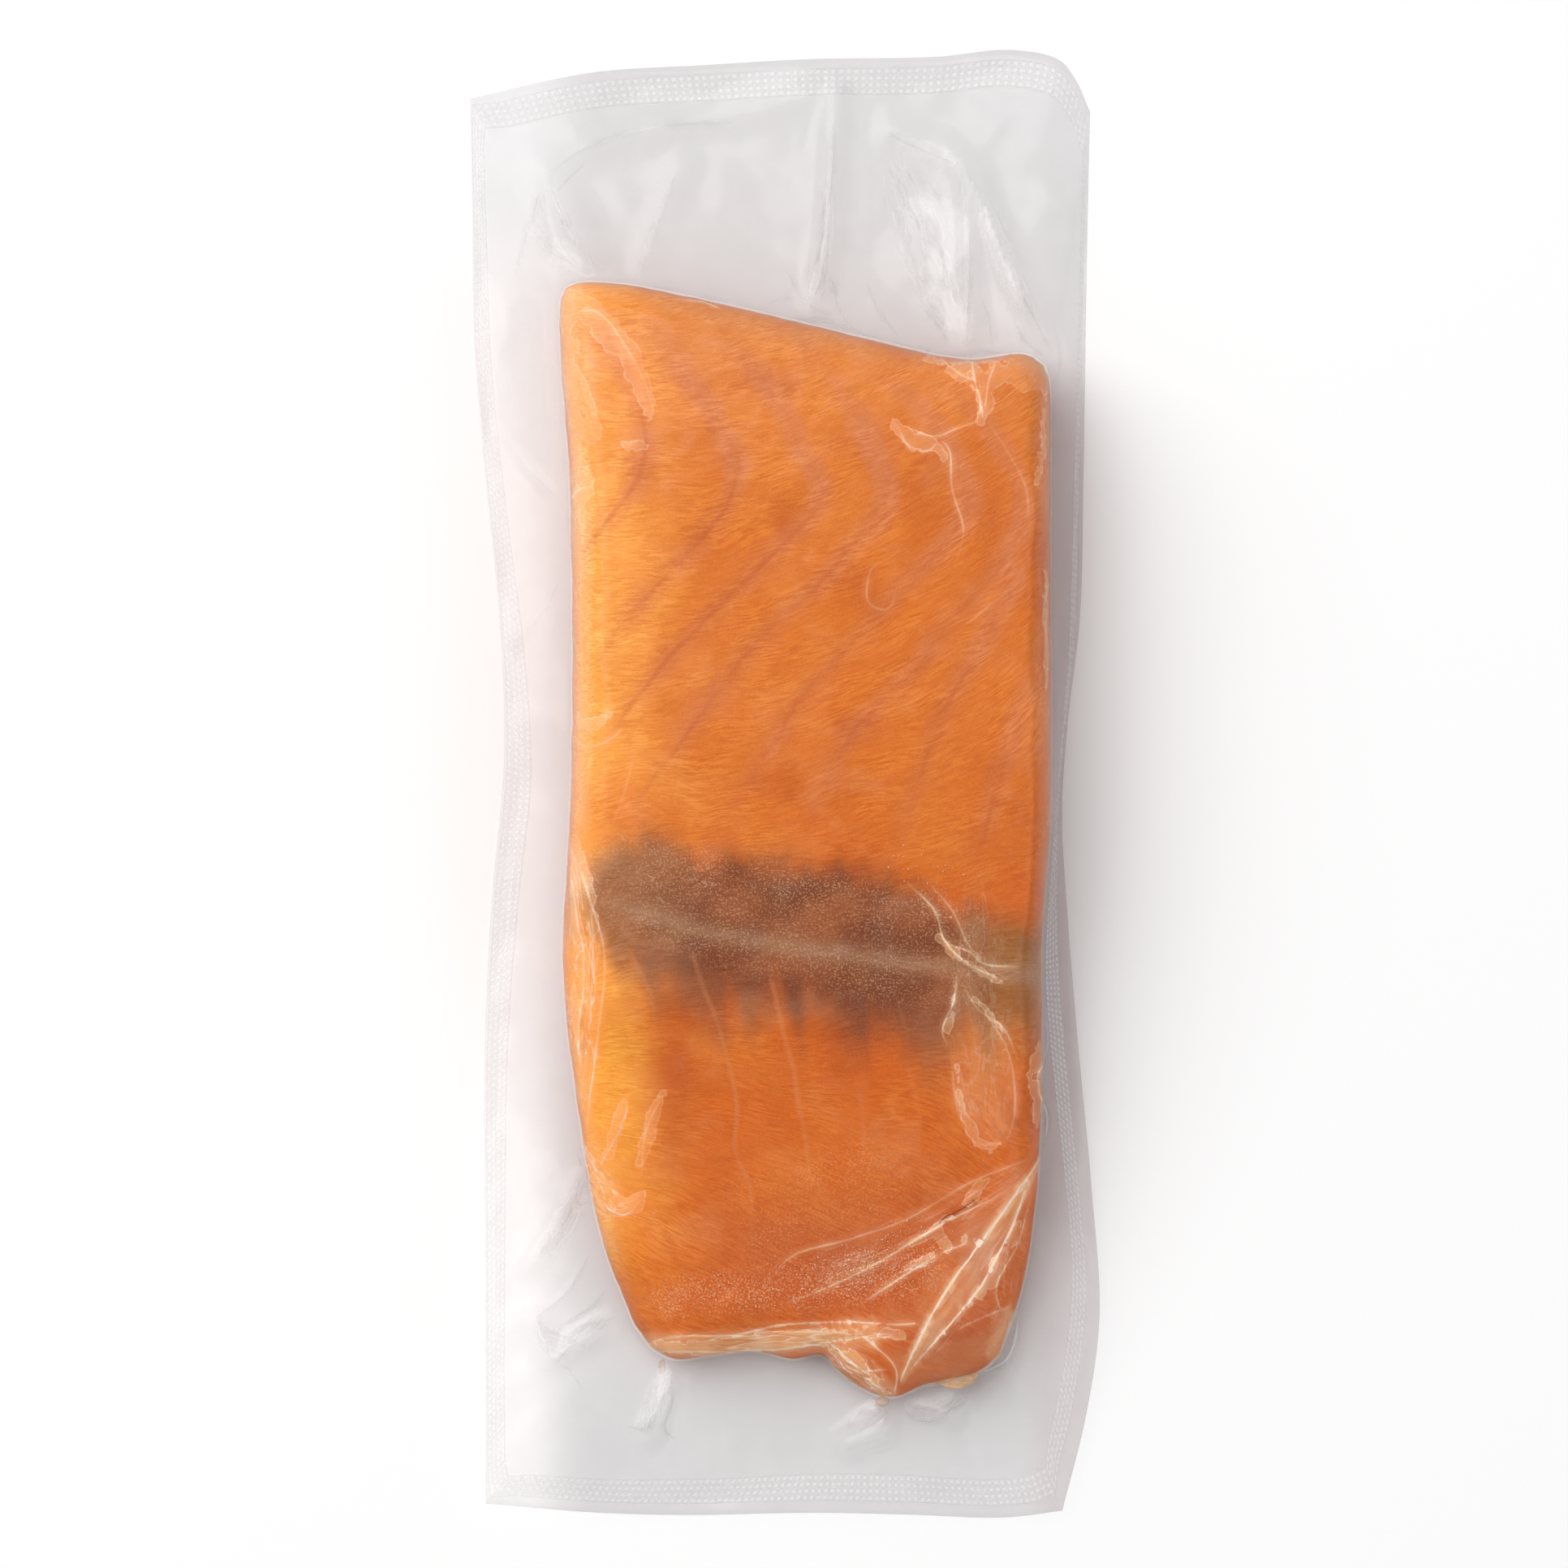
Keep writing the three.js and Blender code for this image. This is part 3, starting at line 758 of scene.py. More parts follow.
@dataclass(frozen=True)
class FilmFinish:
    """Clear glossy film: its veil, air pockets, creases and frost come from the mesh, with painted
    highlights on creases, folds and pocket edges and painted shade at the folds' feet.
    """

    roughness: float = 0.12
    ior: float = 1.5
    pocket_veil: float = 0.2
    pocket_edge_highlight: float = 0.24
    reach: float = 0.85
    crest: float = 0.2
    fold_crest_highlight: float = 0.3
    fold_sheet: float = 0.14
    fold_shade: float = 0.22
    fold_crest: float = 0.52
    fold_foot: float = 0.43
    droplet_veil: float = 0.34
    densest: float = 0.9

    def material(self) -> bpy.types.Material:
        """Makes the material."""
        board = Board("clear_film")
        board.set(IOR=self.ior)
        place = board.node("ShaderNodeTexCoord").outputs["Object"]
        haze = board.noise(place, 240.0, 1.0, 0.6)
        broken = board.noise(place, 560.0, 2.0, 0.6)
        pocket = board.attribute("pocket").outputs["Fac"]
        wavering = board.math("ADD", pocket, board.ramp(broken, 0.2, 0.8, -0.4, 0.4))
        inside = board.ramp(wavering, -0.03, 0.05)
        # Painted highlight: a bright line along the edge of each air pocket.
        rim = board.ramp(board.math("ABSOLUTE", wavering), 0.0, 0.14, self.pocket_edge_highlight, 0.0)
        ridge = self.ridge(board)
        strength = board.attribute("crease_strength").outputs["Fac"]
        # Painted highlight: the film is whitened along each crease's crest, with a fainter veil round it.
        crest = self.narrowed(board, ridge, strength, self.crest)
        crest = board.math("MULTIPLY", crest, board.ramp(haze, 0.34, 0.66, 0.75, 1.2))
        halo = board.math("MULTIPLY", ridge, board.ramp(haze, 0.34, 0.66, 0.1, 0.6))
        sheet, line, shade = self.folds(board)
        veil = board.attribute("veil").outputs["Fac"]
        veil = board.math("MULTIPLY", veil, board.ramp(haze, 0.25, 0.75, 0.97, 1.03))
        patchy = board.ramp(haze, 0.3, 0.7, 0.8 * self.pocket_veil, 1.15 * self.pocket_veil)
        for more in (
            board.math("MULTIPLY", inside, patchy), rim, crest, halo, self.frosting(board, place),
            board.math("MULTIPLY", line, self.fold_crest_highlight),
            board.math("MULTIPLY", sheet, self.fold_sheet),
            board.math("MULTIPLY", shade, self.fold_shade),
        ):
            veil = board.math("ADD", veil, more)
        board.drive("Alpha", board.math("MINIMUM", veil, self.densest))
        tint = board.attribute("film_tint").outputs["Color"]
        # Painted highlights: the film is whitened along pocket edges, crease crests and fold crests.
        gleam = board.math("MULTIPLY", board.math("ADD", board.math("ADD", crest, rim), line), 0.75)
        colour = board.blend(board.math("MINIMUM", gleam, 0.6), tint, (1.0, 0.97, 0.94, 1.0))
        # Painted shade: the film is darkened towards brown at the feet of the folds.
        dark = board.blend(1.0, tint, (0.42, 0.3, 0.26, 1.0), "MULTIPLY")
        board.drive("Base Color", board.blend(board.math("MINIMUM", shade, 0.8), colour, dark))
        smoothest, roughest = 0.8 * self.roughness, 1.5 * self.roughness
        board.drive("Roughness", board.ramp(haze, 0.2, 0.8, smoothest, roughest))
        board.bump(sheet, 0.3, 0.0005)
        return board.material

    def folds(self, board: Board) -> tuple[Socket, Socket, Socket]:
        """Gives the fine folds of the crumpled strips.

        Args:
            board: The material.

        Returns:
            The folds' height, the painted highlight on their crests and the painted shade at their feet.
        """
        place = board.attribute("fold_place").outputs["Vector"]
        shown = board.attribute("fold_strength").outputs["Fac"]
        height = board.noise(place, 1.0, 2.0, 0.6)
        off = board.math("ABSOLUTE", board.math("SUBTRACT", height, self.fold_crest))
        line = board.ramp(off, 0.0, 0.035, 1.0, 0.0)
        off = board.math("ABSOLUTE", board.math("SUBTRACT", height, self.fold_foot))
        shade = board.ramp(off, 0.0, 0.05, 1.0, 0.0)
        sheet = board.ramp(height, 0.5, 0.64, 0.0, 1.0)
        return tuple(board.math("MULTIPLY", part, shown) for part in (sheet, line, shade))

    def ridge(self, board: Board) -> Socket:
        """Gives how near a point lies to the crest of a crease, times the crease's painted highlight.

        Args:
            board: The material.

        Returns:
            The result's socket, 0 from the reach outwards.
        """
        highest = 0.0
        for number in range(CREASE_VECTORS):
            place = board.attribute(f"crease_place_{number}").outputs["Vector"]
            gleam = board.attribute(f"crease_gleam_{number}").outputs["Vector"]
            near = board.vector("ABSOLUTE", place)
            near = board.vector("MULTIPLY_ADD", near, (-1.0 / self.reach,) * 3, (1.0, 1.0, 1.0))
            near = board.vector("MULTIPLY", board.vector("MAXIMUM", near, (0.0, 0.0, 0.0)), gleam)
            for part in board.node("ShaderNodeSeparateXYZ", {0: near}).outputs:
                highest = board.math("MAXIMUM", highest, part)
        return highest

    def narrowed(self, board: Board, ridge: Socket, strength: Socket, width: float) -> Socket:
        """Narrows a ridge, so that it falls to 0 at a smaller distance from its crest.

        Args:
            board: The material.
            ridge: The ridge out to the full reach.
            strength: The ridge's value on its crest.
            width: The smaller distance, in millimetres.

        Returns:
            The result's socket.
        """
        steeper = self.reach / width
        cut = board.math("MULTIPLY", strength, 1.0 - steeper)
        narrow = board.math("ADD", board.math("MULTIPLY", ridge, steeper), cut)
        return board.math("MINIMUM", board.math("MAXIMUM", narrow, 0.0), ridge)

    def frosting(self, board: Board, place: Socket) -> Socket:
        """Gives the veil of very fine droplets between film and fish."""
        dots = board.ramp(board.noise(place, 4600.0, 0.0, 0.5), 0.52, 0.7)
        mask = board.attribute("frosting").outputs["Fac"]
        return board.math("MULTIPLY", board.math("MULTIPLY", dots, mask), self.droplet_veil)


@dataclass(frozen=True)
class WeldFinish:
    """Two films pressed together in small cells."""

    roughness: float = 0.45
    plain: tuple[float, ...] = (0.74, 0.71, 0.72, 1.0)
    cell: tuple[float, ...] = (0.95, 0.93, 0.94, 1.0)
    alpha: tuple[float, float] = (0.12, 0.3)

    def material(self) -> bpy.types.Material:
        """Makes the material."""
        board = Board("weld_band")
        board.set(IOR=1.5, Roughness=self.roughness)
        pressed = board.attribute("pressed").outputs["Fac"]
        board.drive("Base Color", board.blend(pressed, self.plain, self.cell))
        board.drive("Alpha", board.ramp(pressed, 0.15, 0.85, *self.alpha))
        return board.material


@dataclass(frozen=True)
class PaleFleshFinish:
    """Moist pale tan flesh."""

    colour: tuple[float, float, float] = (0.72, 0.46, 0.26)

    def material(self) -> bpy.types.Material:
        """Makes the material."""
        board = Board("pale_flesh")
        board.set(Roughness=0.35, Coat_Weight=0.3, Subsurface_Weight=0.15, Subsurface_Scale=0.001)
        place = board.node("ShaderNodeTexCoord").outputs["Object"]
        grain = board.noise(board.stretched(place, (600.0, 1800.0, 1800.0)), 1.0, 3.0, 0.6)
        dark = tuple(0.72 * c for c in self.colour) + (1.0,)
        colour = board.blend(board.ramp(grain, 0.3, 0.7), dark, self.colour + (1.0,))
        board.drive("Base Color", colour)
        board.bump(grain, 0.4, 0.0003)
        return board.material


@dataclass(frozen=True)
class JuiceFinish:
    """Clear yellowish liquid."""

    dark: tuple[float, ...] = (0.8, 0.46, 0.24, 1.0)
    light: tuple[float, ...] = (0.88, 0.66, 0.46, 1.0)
    alpha: tuple[float, float] = (0.3, 0.5)

    def material(self) -> bpy.types.Material:
        """Makes the material."""
        board = Board("fish_juice")
        board.set(Roughness=0.08, IOR=1.34, Coat_Weight=0.5)
        place = board.node("ShaderNodeTexCoord").outputs["Object"]
        cloud = board.noise(place, 500.0, 3.0, 0.5)
        board.drive("Base Color", board.blend(board.ramp(cloud, 0.3, 0.7), self.dark, self.light))
        board.drive("Alpha", board.ramp(cloud, 0.3, 0.7, *self.alpha))
        return board.material


@dataclass(frozen=True)
class FrostFinish:
    """Pale bubbles and specks."""

    dark: tuple[float, ...] = (0.9, 0.44, 0.26, 1.0)
    light: tuple[float, ...] = (1.0, 0.68, 0.5, 1.0)
    alpha: tuple[float, float] = (0.4, 0.75)

    def material(self) -> bpy.types.Material:
        """Makes the material."""
        board = Board("frost")
        board.set(Roughness=0.6, IOR=1.4, Specular_IOR_Level=0.1)
        place = board.node("ShaderNodeTexCoord").outputs["Object"]
        cloud = board.noise(place, 700.0, 1.0, 0.5)
        board.drive("Base Color", board.blend(board.ramp(cloud, 0.3, 0.7), self.dark, self.light))
        board.drive("Alpha", board.ramp(cloud, 0.3, 0.7, *self.alpha))
        return board.material


def mesh_piece(
    name: str, points: Points, faces: Sequence, material: bpy.types.Material
) -> bpy.types.Object:
    """Makes an object from points in millimetres.

    Args:
        name: The piece's name.
        points: Its points.
        faces: Lists of point numbers.
        material: Its finish.

    Returns:
        The object, at the origin, shaded smooth.
    """
    mesh = bpy.data.meshes.new(name)
    mesh.from_pydata(points * MM, [], faces)
    mesh.update()
    mesh.shade_smooth()
    mesh.materials.append(material)
    made = bpy.data.objects.new(name, mesh)
    bpy.context.scene.collection.objects.link(made)
    return made


def ball(subdivisions: int) -> tuple[Points, Points]:
    """Gives the points and faces of a ball of radius 1 round the origin."""
    bpy.ops.mesh.primitive_ico_sphere_add(subdivisions=subdivisions, radius=1.0, location=(0, 0, 0))
    made = bpy.context.active_object
    points = np.array([vertex.co[:] for vertex in made.data.vertices])
    faces = np.array([face.vertices[:] for face in made.data.polygons])
    bpy.data.objects.remove(made, do_unlink=True)
    return points, faces


def give(piece: bpy.types.Object, name: str, values: Points) -> None:
    """Stores one value, vector or colour for each point of a piece."""
    width = 1 if values.ndim == 1 else values.shape[1]
    kinds = {1: ("FLOAT", "value"), 3: ("FLOAT_VECTOR", "vector"), 4: ("FLOAT_COLOR", "color")}
    kind, key = kinds[width]
    layer = piece.data.attributes.new(name, kind, "POINT")
    layer.data.foreach_set(key, np.ascontiguousarray(values, dtype=np.float32).ravel())


def coloured(colours: Points) -> Points:
    """Adds a full alpha to colours."""
    return np.column_stack([np.clip(colours, 0.0, 1.0), np.ones(len(colours))])


@dataclass
class Fish:
    """The salmon portion itself, just inside the film."""

    form: PackForm
    finish: FleshFinish = FleshFinish()
    along: int = ALONG
    across: int = ACROSS
    shoulder_steps: int = 14
    undercut_steps: int = 6
    film_gap: float = 0.16
    line_strength: tuple[float, float] = (0.46, 0.22)
    flake_pitch: float = 6.4
    flake_line: float = 0.55
    septa: Sequence[Line] = (
        ((-23.6, 57.0), (-20.0, 51.0), (-17.0, 45.0), (-17.4, 38.0), (-22.0, 31.5), (-25.5, 27.0)),
        ((-17.2, 58.5), (-13.4, 52.0), (-10.1, 47.1), (-6.8, 41.6), (-5.7, 37.8), (-6.2, 34.5),
         (-10.1, 29.5), (-13.9, 25.7), (-18.8, 20.2), (-24.0, 13.5)),
        ((-9.5, 57.5), (-5.7, 52.6), (-1.3, 47.1), (2.0, 41.0), (4.2, 36.1), (3.1, 32.8),
         (-1.3, 28.4), (-5.7, 24.0), (-10.1, 19.7), (-14.5, 14.7), (-17.7, 10.3), (-23.0, 4.0)),
        ((0.9, 55.3), (4.7, 50.9), (8.0, 46.0), (10.8, 41.0), (12.7, 36.1), (11.9, 32.8),
         (7.5, 28.4), (3.1, 23.5), (-2.4, 18.0), (-7.9, 11.4), (-11.2, 7.0), (-15.5, 1.5), (-20.0, -5.0)),
        ((6.9, 54.2), (11.9, 49.8), (16.8, 45.4), (20.1, 40.5), (22.3, 35.0), (21.7, 31.7),
         (18.4, 27.9), (14.1, 23.5), (8.6, 17.5), (3.1, 11.4), (-0.2, 7.0), (-4.5, 1.0), (-8.5, -6.5)),
        ((13.5, 52.0), (18.4, 48.7), (23.4, 45.4), (26.7, 40.5), (29.4, 35.6), (28.8, 31.7),
         (25.0, 25.1), (20.1, 19.7), (16.2, 14.7), (11.9, 10.3), (8.6, 6.6), (5.5, 1.0), (2.5, -7.0)),
        ((30.2, 30.5), (26.7, 21.8), (23.9, 16.4), (20.6, 11.4), (18.4, 7.0), (16.0, 0.0), (13.5, -9.0)),
        ((32.0, 16.5), (28.5, 8.0), (26.0, 0.0), (23.5, -10.0)),
    )
    seams: Sequence[Line] = (
        ((-11.3, -21.0), (-8.1, -29.2), (-6.2, -36.2), (-5.8, -43.9), (-4.2, -49.7), (-4.0, -58.0)),
        ((-1.8, -24.0), (0.9, -35.0), (2.8, -42.6), (3.5, -50.0)),
        ((6.3, -25.0), (8.6, -33.7), (9.2, -40.1), (9.6, -47.0)),
        ((-18.3, -21.0), (-15.1, -29.8), (-16.4, -38.8), (-18.0, -47.0)),
        ((13.5, -26.0), (15.6, -36.2), (16.4, -43.0)),
    )
    patches: Sequence[tuple[Place, Place, tuple[int, int, int], float]] = (
        ((-21.0, -36.0), (5.0, 8.0), (255, 168, 56), 0.75),
        ((-20.0, -56.0), (5.0, 9.0), (250, 152, 50), 0.7),
        # Painted shadow: a darker wedge beside a fold in the flesh.
        ((-13.0, -36.0), (2.2, 6.5), (200, 84, 22), 0.6),
        ((26.0, 33.0), (5.0, 16.0), (224, 112, 36), 0.6),
        ((24.0, -35.0), (5.0, 8.0), (232, 130, 48), 0.6),
        ((-5.0, 55.0), (26.0, 4.5), (236, 146, 84), 0.55),
        ((26.5, 50.0), (5.0, 5.0), (230, 138, 78), 0.5),
        ((0.0, -62.0), (22.0, 4.5), (204, 94, 42), 0.6),
        ((-15.0, -57.0), (5.0, 6.0), (238, 124, 26), 0.6),
        ((-26.5, 32.0), (2.2, 8.0), (255, 205, 150), 0.7),
        ((20.0, -68.0), (7.0, 5.0), (188, 82, 40), 0.85),
        ((8.0, -59.0), (11.0, 5.0), (200, 82, 34), 0.8),
        ((24.0, -58.0), (3.5, 8.0), (204, 96, 42), 0.7),
        ((-22.6, -54.0), (2.2, 7.0), (255, 196, 120), 0.6),
        ((17.0, -51.0), (5.0, 5.0), (204, 92, 34), 0.6),
        ((-19.0, -3.0), (5.0, 5.0), (228, 118, 46), 0.7),
        # Painted shadow: the lower part of the darker wedge beside the fold in the flesh.
        ((-14.0, -40.0), (2.6, 9.0), (206, 92, 34), 0.5),
        ((4.0, -55.0), (14.0, 6.0), (206, 104, 52), 0.5),
    )
    band_line: Line = (
        (-29.0, -13.2), (-19.0, -15.1), (-12.6, -17.0), (-4.9, -18.9), (4.1, -20.2), (13.1, -21.5),
        (19.5, -22.1), (34.0, -23.8),
    )
    band_above: Line = (
        (-26.0, 1.5), (-22.5, 5.0), (-19.6, 8.2), (-15.8, 9.6), (-10.0, 9.4), (-1.0, 10.4), (5.4, 10.6),
        (14.3, 10.2), (20.7, 7.4), (34.0, 6.4),
    )
    band_below: Line = (
        (-26.0, 1.5), (-22.2, 4.6), (-15.1, 6.0), (-7.4, 8.8), (0.3, 6.6), (6.7, 7.6), (16.9, 9.2),
        (21.0, 9.0), (24.5, 6.4), (34.0, 6.2),
    )

    def build(self) -> bpy.types.Object:
        """Makes the fish as one closed mesh with its grooves and colours.

        Returns:
            The piece.
        """
        form, shell = self.form, Shell()
        edge = form.outline(form.fish_edge, self.along, self.across)
        widest = shell.add(form.shoulder_ring(edge, 0.0, 0.0))
        up = (form.shoulder_ring(edge, turn, 0.0) for turn in rising(self.shoulder_steps))
        form.fill_grid(shell, shell.climb(widest, up), self.along, self.across, True)
        down = (form.undercut_ring(edge, turn, 0.0) for turn in rising(self.undercut_steps))
        form.fill_grid(shell, shell.climb(widest, down, False), self.along, self.across, False)
        points, quads = shell.all_points(), shell.all_quads()
        normals = point_normals(points, quads)
        sunk = self.film_gap + self.relief(points, normals)
        carved = points - normals * sunk[:, None]
        piece = mesh_piece("salmon_portion", carved, quads.tolist(), self.finish.material())
        give(piece, "flesh_colour", coloured(self.colours(points, normals)))
        give(piece, "fibre", self.fibre(points))
        give(piece, "seam", self.seam_layers(points[:, 0], points[:, 1]))
        return piece

    def septum_nearness(self, x: Points, y: Points) -> tuple[Points, Points]:
        """Finds the sheets of connective tissue that run between the muscle's segments.

        Args:
            x: Across coordinates of the points.
            y: Along coordinates of the points.

        Returns:
            How near each point lies to a sheet's broad band, and the share to which that lies
            on the sheet's upper arm.
        """
        broad, upper = np.zeros(x.shape), np.zeros(x.shape)
        for septum in self.septa:
            curve = spline(np.array(septum, float), 3 * (len(septum) - 1))
            distance, share = line_distance(x + 0.5 * value_noise(x, y, 5.0, 31), y, curve, 8.0)
            fade = tapered(share)
            near = fade * np.exp(-((np.maximum(np.abs(distance) - 0.6, 0) / 0.95) ** 2))
            upper = np.where(near > broad, 1.0 - smooth(0.34, 0.6, share), upper)
            broad = np.maximum(broad, near)
        return broad, upper

    def seam_layers(self, x: Points, y: Points) -> Points:
        """Gives the thin lines in the flesh, which its finish draws.

        Args:
            x: Across coordinates of the points.
            y: Along coordinates of the points.

        Returns:
            The signed distance to the nearest line, and how dark and how pale it is there.
        """
        nearest, shown = np.full(x.shape, FAR), np.zeros((len(x), 2))
        torn = smooth(-0.9, 0.5, value_noise(x, y, 6.5, 32) + 0.4 * value_noise(x, y, 2.4, 33))
        for kind, (lines, start) in enumerate(((self.septa, 0.3), (self.seams, -0.2))):
            for line in lines:
                curve = spline(np.array(line, float), 5 * (len(line) - 1))
                distance, share = line_distance(x + 0.5 * value_noise(x, y, 5.0, 31), y, curve, 4.0)
                fade = np.minimum(1.0, 5.0 * (1.0 - share) + TAPER_END)
                fade *= 0.12 + 0.88 * smooth(start, start + 0.25, share)
                near = smooth(1.6, 0.9, np.abs(distance))
                closer = np.abs(distance) < np.abs(nearest)
                nearest[closer] = distance[closer]
                shown[closer] = 0.0
                shown[closer, kind] = (self.line_strength[kind] * fade * torn * near)[closer]
        return np.column_stack([nearest, shown])

    def band(self, x: Points, y: Points) -> tuple[Points, Points]:
        """Gives the share of the brown band and of its pale middle line at each point."""
        centre = np.interp(x, *zip(*self.band_line))
        above = np.interp(x, *zip(*self.band_above))
        below = np.interp(x, *zip(*self.band_below))
        comb = value_noise(x + 0.12 * y, 0.08 * y, 1.9, 41)
        ragged = value_noise(x, y, 3.4, 42) + 0.6 * value_noise(x, y, 1.3, 43)
        offset = y - centre
        upper = 1.0 - smooth(-3.6, 2.6, offset - above - 0.8 * ragged - 1.0 * comb)
        lower = 1.0 - smooth(-3.6, 6.6, -offset - below - 1.0 * ragged - 2.8 * comb)
        share = np.where(offset > 0, upper, lower) * smooth(-28.0, -22.5, x + 0.8 * ragged)
        pale = np.exp(-(((offset + 0.3 * ragged) / 1.15) ** 2)) * smooth(-23.0, -17.0, x)
        return share, pale

    def relief(self, points: Points, normals: Points) -> Points:
        """Gives how deep the flesh is sunk under the film at each point."""
        x, y = points[:, 0], points[:, 1]
        broad, _ = self.septum_nearness(x, y)
        up = smooth(0.2, 0.8, normals[:, 2])
        lumps = 0.06 * (1.0 + value_noise(x, y, 2.6, 11))
        lumps += 0.04 * (1.0 + value_noise(x, 3.0 * y, 1.4, 12))
        return 0.04 * up * broad + lumps

    def fibre(self, points: Points) -> Points:
        """Gives coordinates that run along and across the muscle fibres, in millimetres."""
        x, y, z = points.T
        upper = smooth(-20.0, 20.0, y)
        lean = (0.1 + 0.2 * upper) * x + 0.006 * upper * (x - 2.0) ** 2
        lean -= 0.5 * smooth(-26.0, -50.0, y) * (x - 8.0)
        across = y - lean + 0.9 * value_noise(x, y, 9.0, 21) + 0.3 * value_noise(x, y, 3.5, 22)
        return np.column_stack([x, across, z])

    def colours(self, points: Points, normals: Points) -> Points:
        """Gives the flesh's colour at each point, in linear light, with painted light along the left side
        and a painted shadow beside a fold in the flesh.
        """
        x, y, z = points.T
        patchy = value_noise(x, y, 8.0, 51) + 0.6 * value_noise(x, y, 3.5, 52)
        colour = mix(linear(233, 122, 36), linear(242, 142, 56), smooth(22.0, 60.0, y))
        colour = mix(colour, linear(224, 104, 24), smooth(4.0, -22.0, y))
        colour = mix(colour, linear(232, 114, 34), smooth(-34.0, -50.0, y))
        colour = mix(colour, linear(206, 92, 26), 0.5 * smooth(0.0, 1.2, patchy))
        colour = mix(colour, linear(240, 136, 52), 0.42 * smooth(0.0, -1.2, patchy))
        # Painted light: the left side is painted paler and yellower, as if light shone through its thin
        # edge.
        painted_through_light = smooth(-9.0, -25.0, x + 2.2 * patchy) * smooth(-64.0, -50.0, y)
        painted_through_light *= 1.0 - 0.45 * smooth(34.0, 50.0, y)
        colour = mix(colour, linear(255, 174, 76), 0.85 * painted_through_light)
        # Painted light: a pale strip along the left edge of the upper half, as if lit through the thin
        # edge.
        colour = mix(colour, linear(255, 186, 116), smooth(-22.5, -26.5, x) * smooth(-8.0, 0.0, y))
        for (at_x, at_y), (wide, tall), tone, strength in self.patches:
            near = np.exp(-(((x - at_x) / wide) ** 2) - ((y - at_y) / tall) ** 2)
            colour = mix(colour, linear(*tone), strength * near)
        broad, upper = self.septum_nearness(x, y)
        dull = mix(linear(216, 118, 70), linear(226, 132, 84), upper)
        shown = (0.5 + 0.25 * upper) * broad * np.clip(0.8 + 0.25 * patchy, 0, 1)
        colour = mix(colour, dull, shown)
        band, pale = self.band(x, y)
        blotch = value_noise(x, y, 5.0, 61) + 0.7 * value_noise(0.6 * x, y, 2.2, 62)
        brown = mix(linear(156, 84, 52), linear(120, 56, 38), smooth(-0.8, 1.0, blotch))
        brown = mix(brown, linear(166, 104, 50), smooth(20.0, 28.0, x))
        brown = mix(brown, linear(168, 110, 76), 0.65 * smooth(-7.0, -20.0, x))
        colour = mix(colour, brown, 0.94 * band)
        colour = mix(colour, linear(178, 132, 104), 0.62 * pale * band)
        # The painted light along the left side also brightens the colour there.
        return self.sides(points, normals, colour) * (0.84 + 0.14 * painted_through_light)[:, None]

    def sides(self, points: Points, normals: Points, top: Points) -> Points:
        """Blends the top's colour into the cut sides and the underside, with their pale flakes."""
        x, y, z = points.T
        wander = 1.6 * value_noise(x + z, y, 9.0, 71)
        bend = np.where(normals[:, 2] < -0.5, 0.55 * np.abs(x - 2.0), 0.7 * z)
        phase = (y + bend + wander) / self.flake_pitch
        flake = np.exp(-((np.abs(phase - np.round(phase)) * self.flake_pitch / self.flake_line) ** 2))
        speckled = smooth(-1, 1, value_noise(y, z, 4.0, 72))
        flesh = mix(linear(230, 120, 46), linear(214, 98, 34), speckled)
        from_band = y - np.interp(x, *zip(*self.band_line))
        dark = np.exp(-((from_band / 6.0) ** 2)) * smooth(0.0, 14.0, z)
        flesh = mix(flesh, linear(170, 104, 66), 0.6 * dark)
        flesh = mix(flesh, linear(246, 190, 140), 0.75 * flake)
        return mix(flesh, top, smooth(-0.1, 0.35, normals[:, 2]))


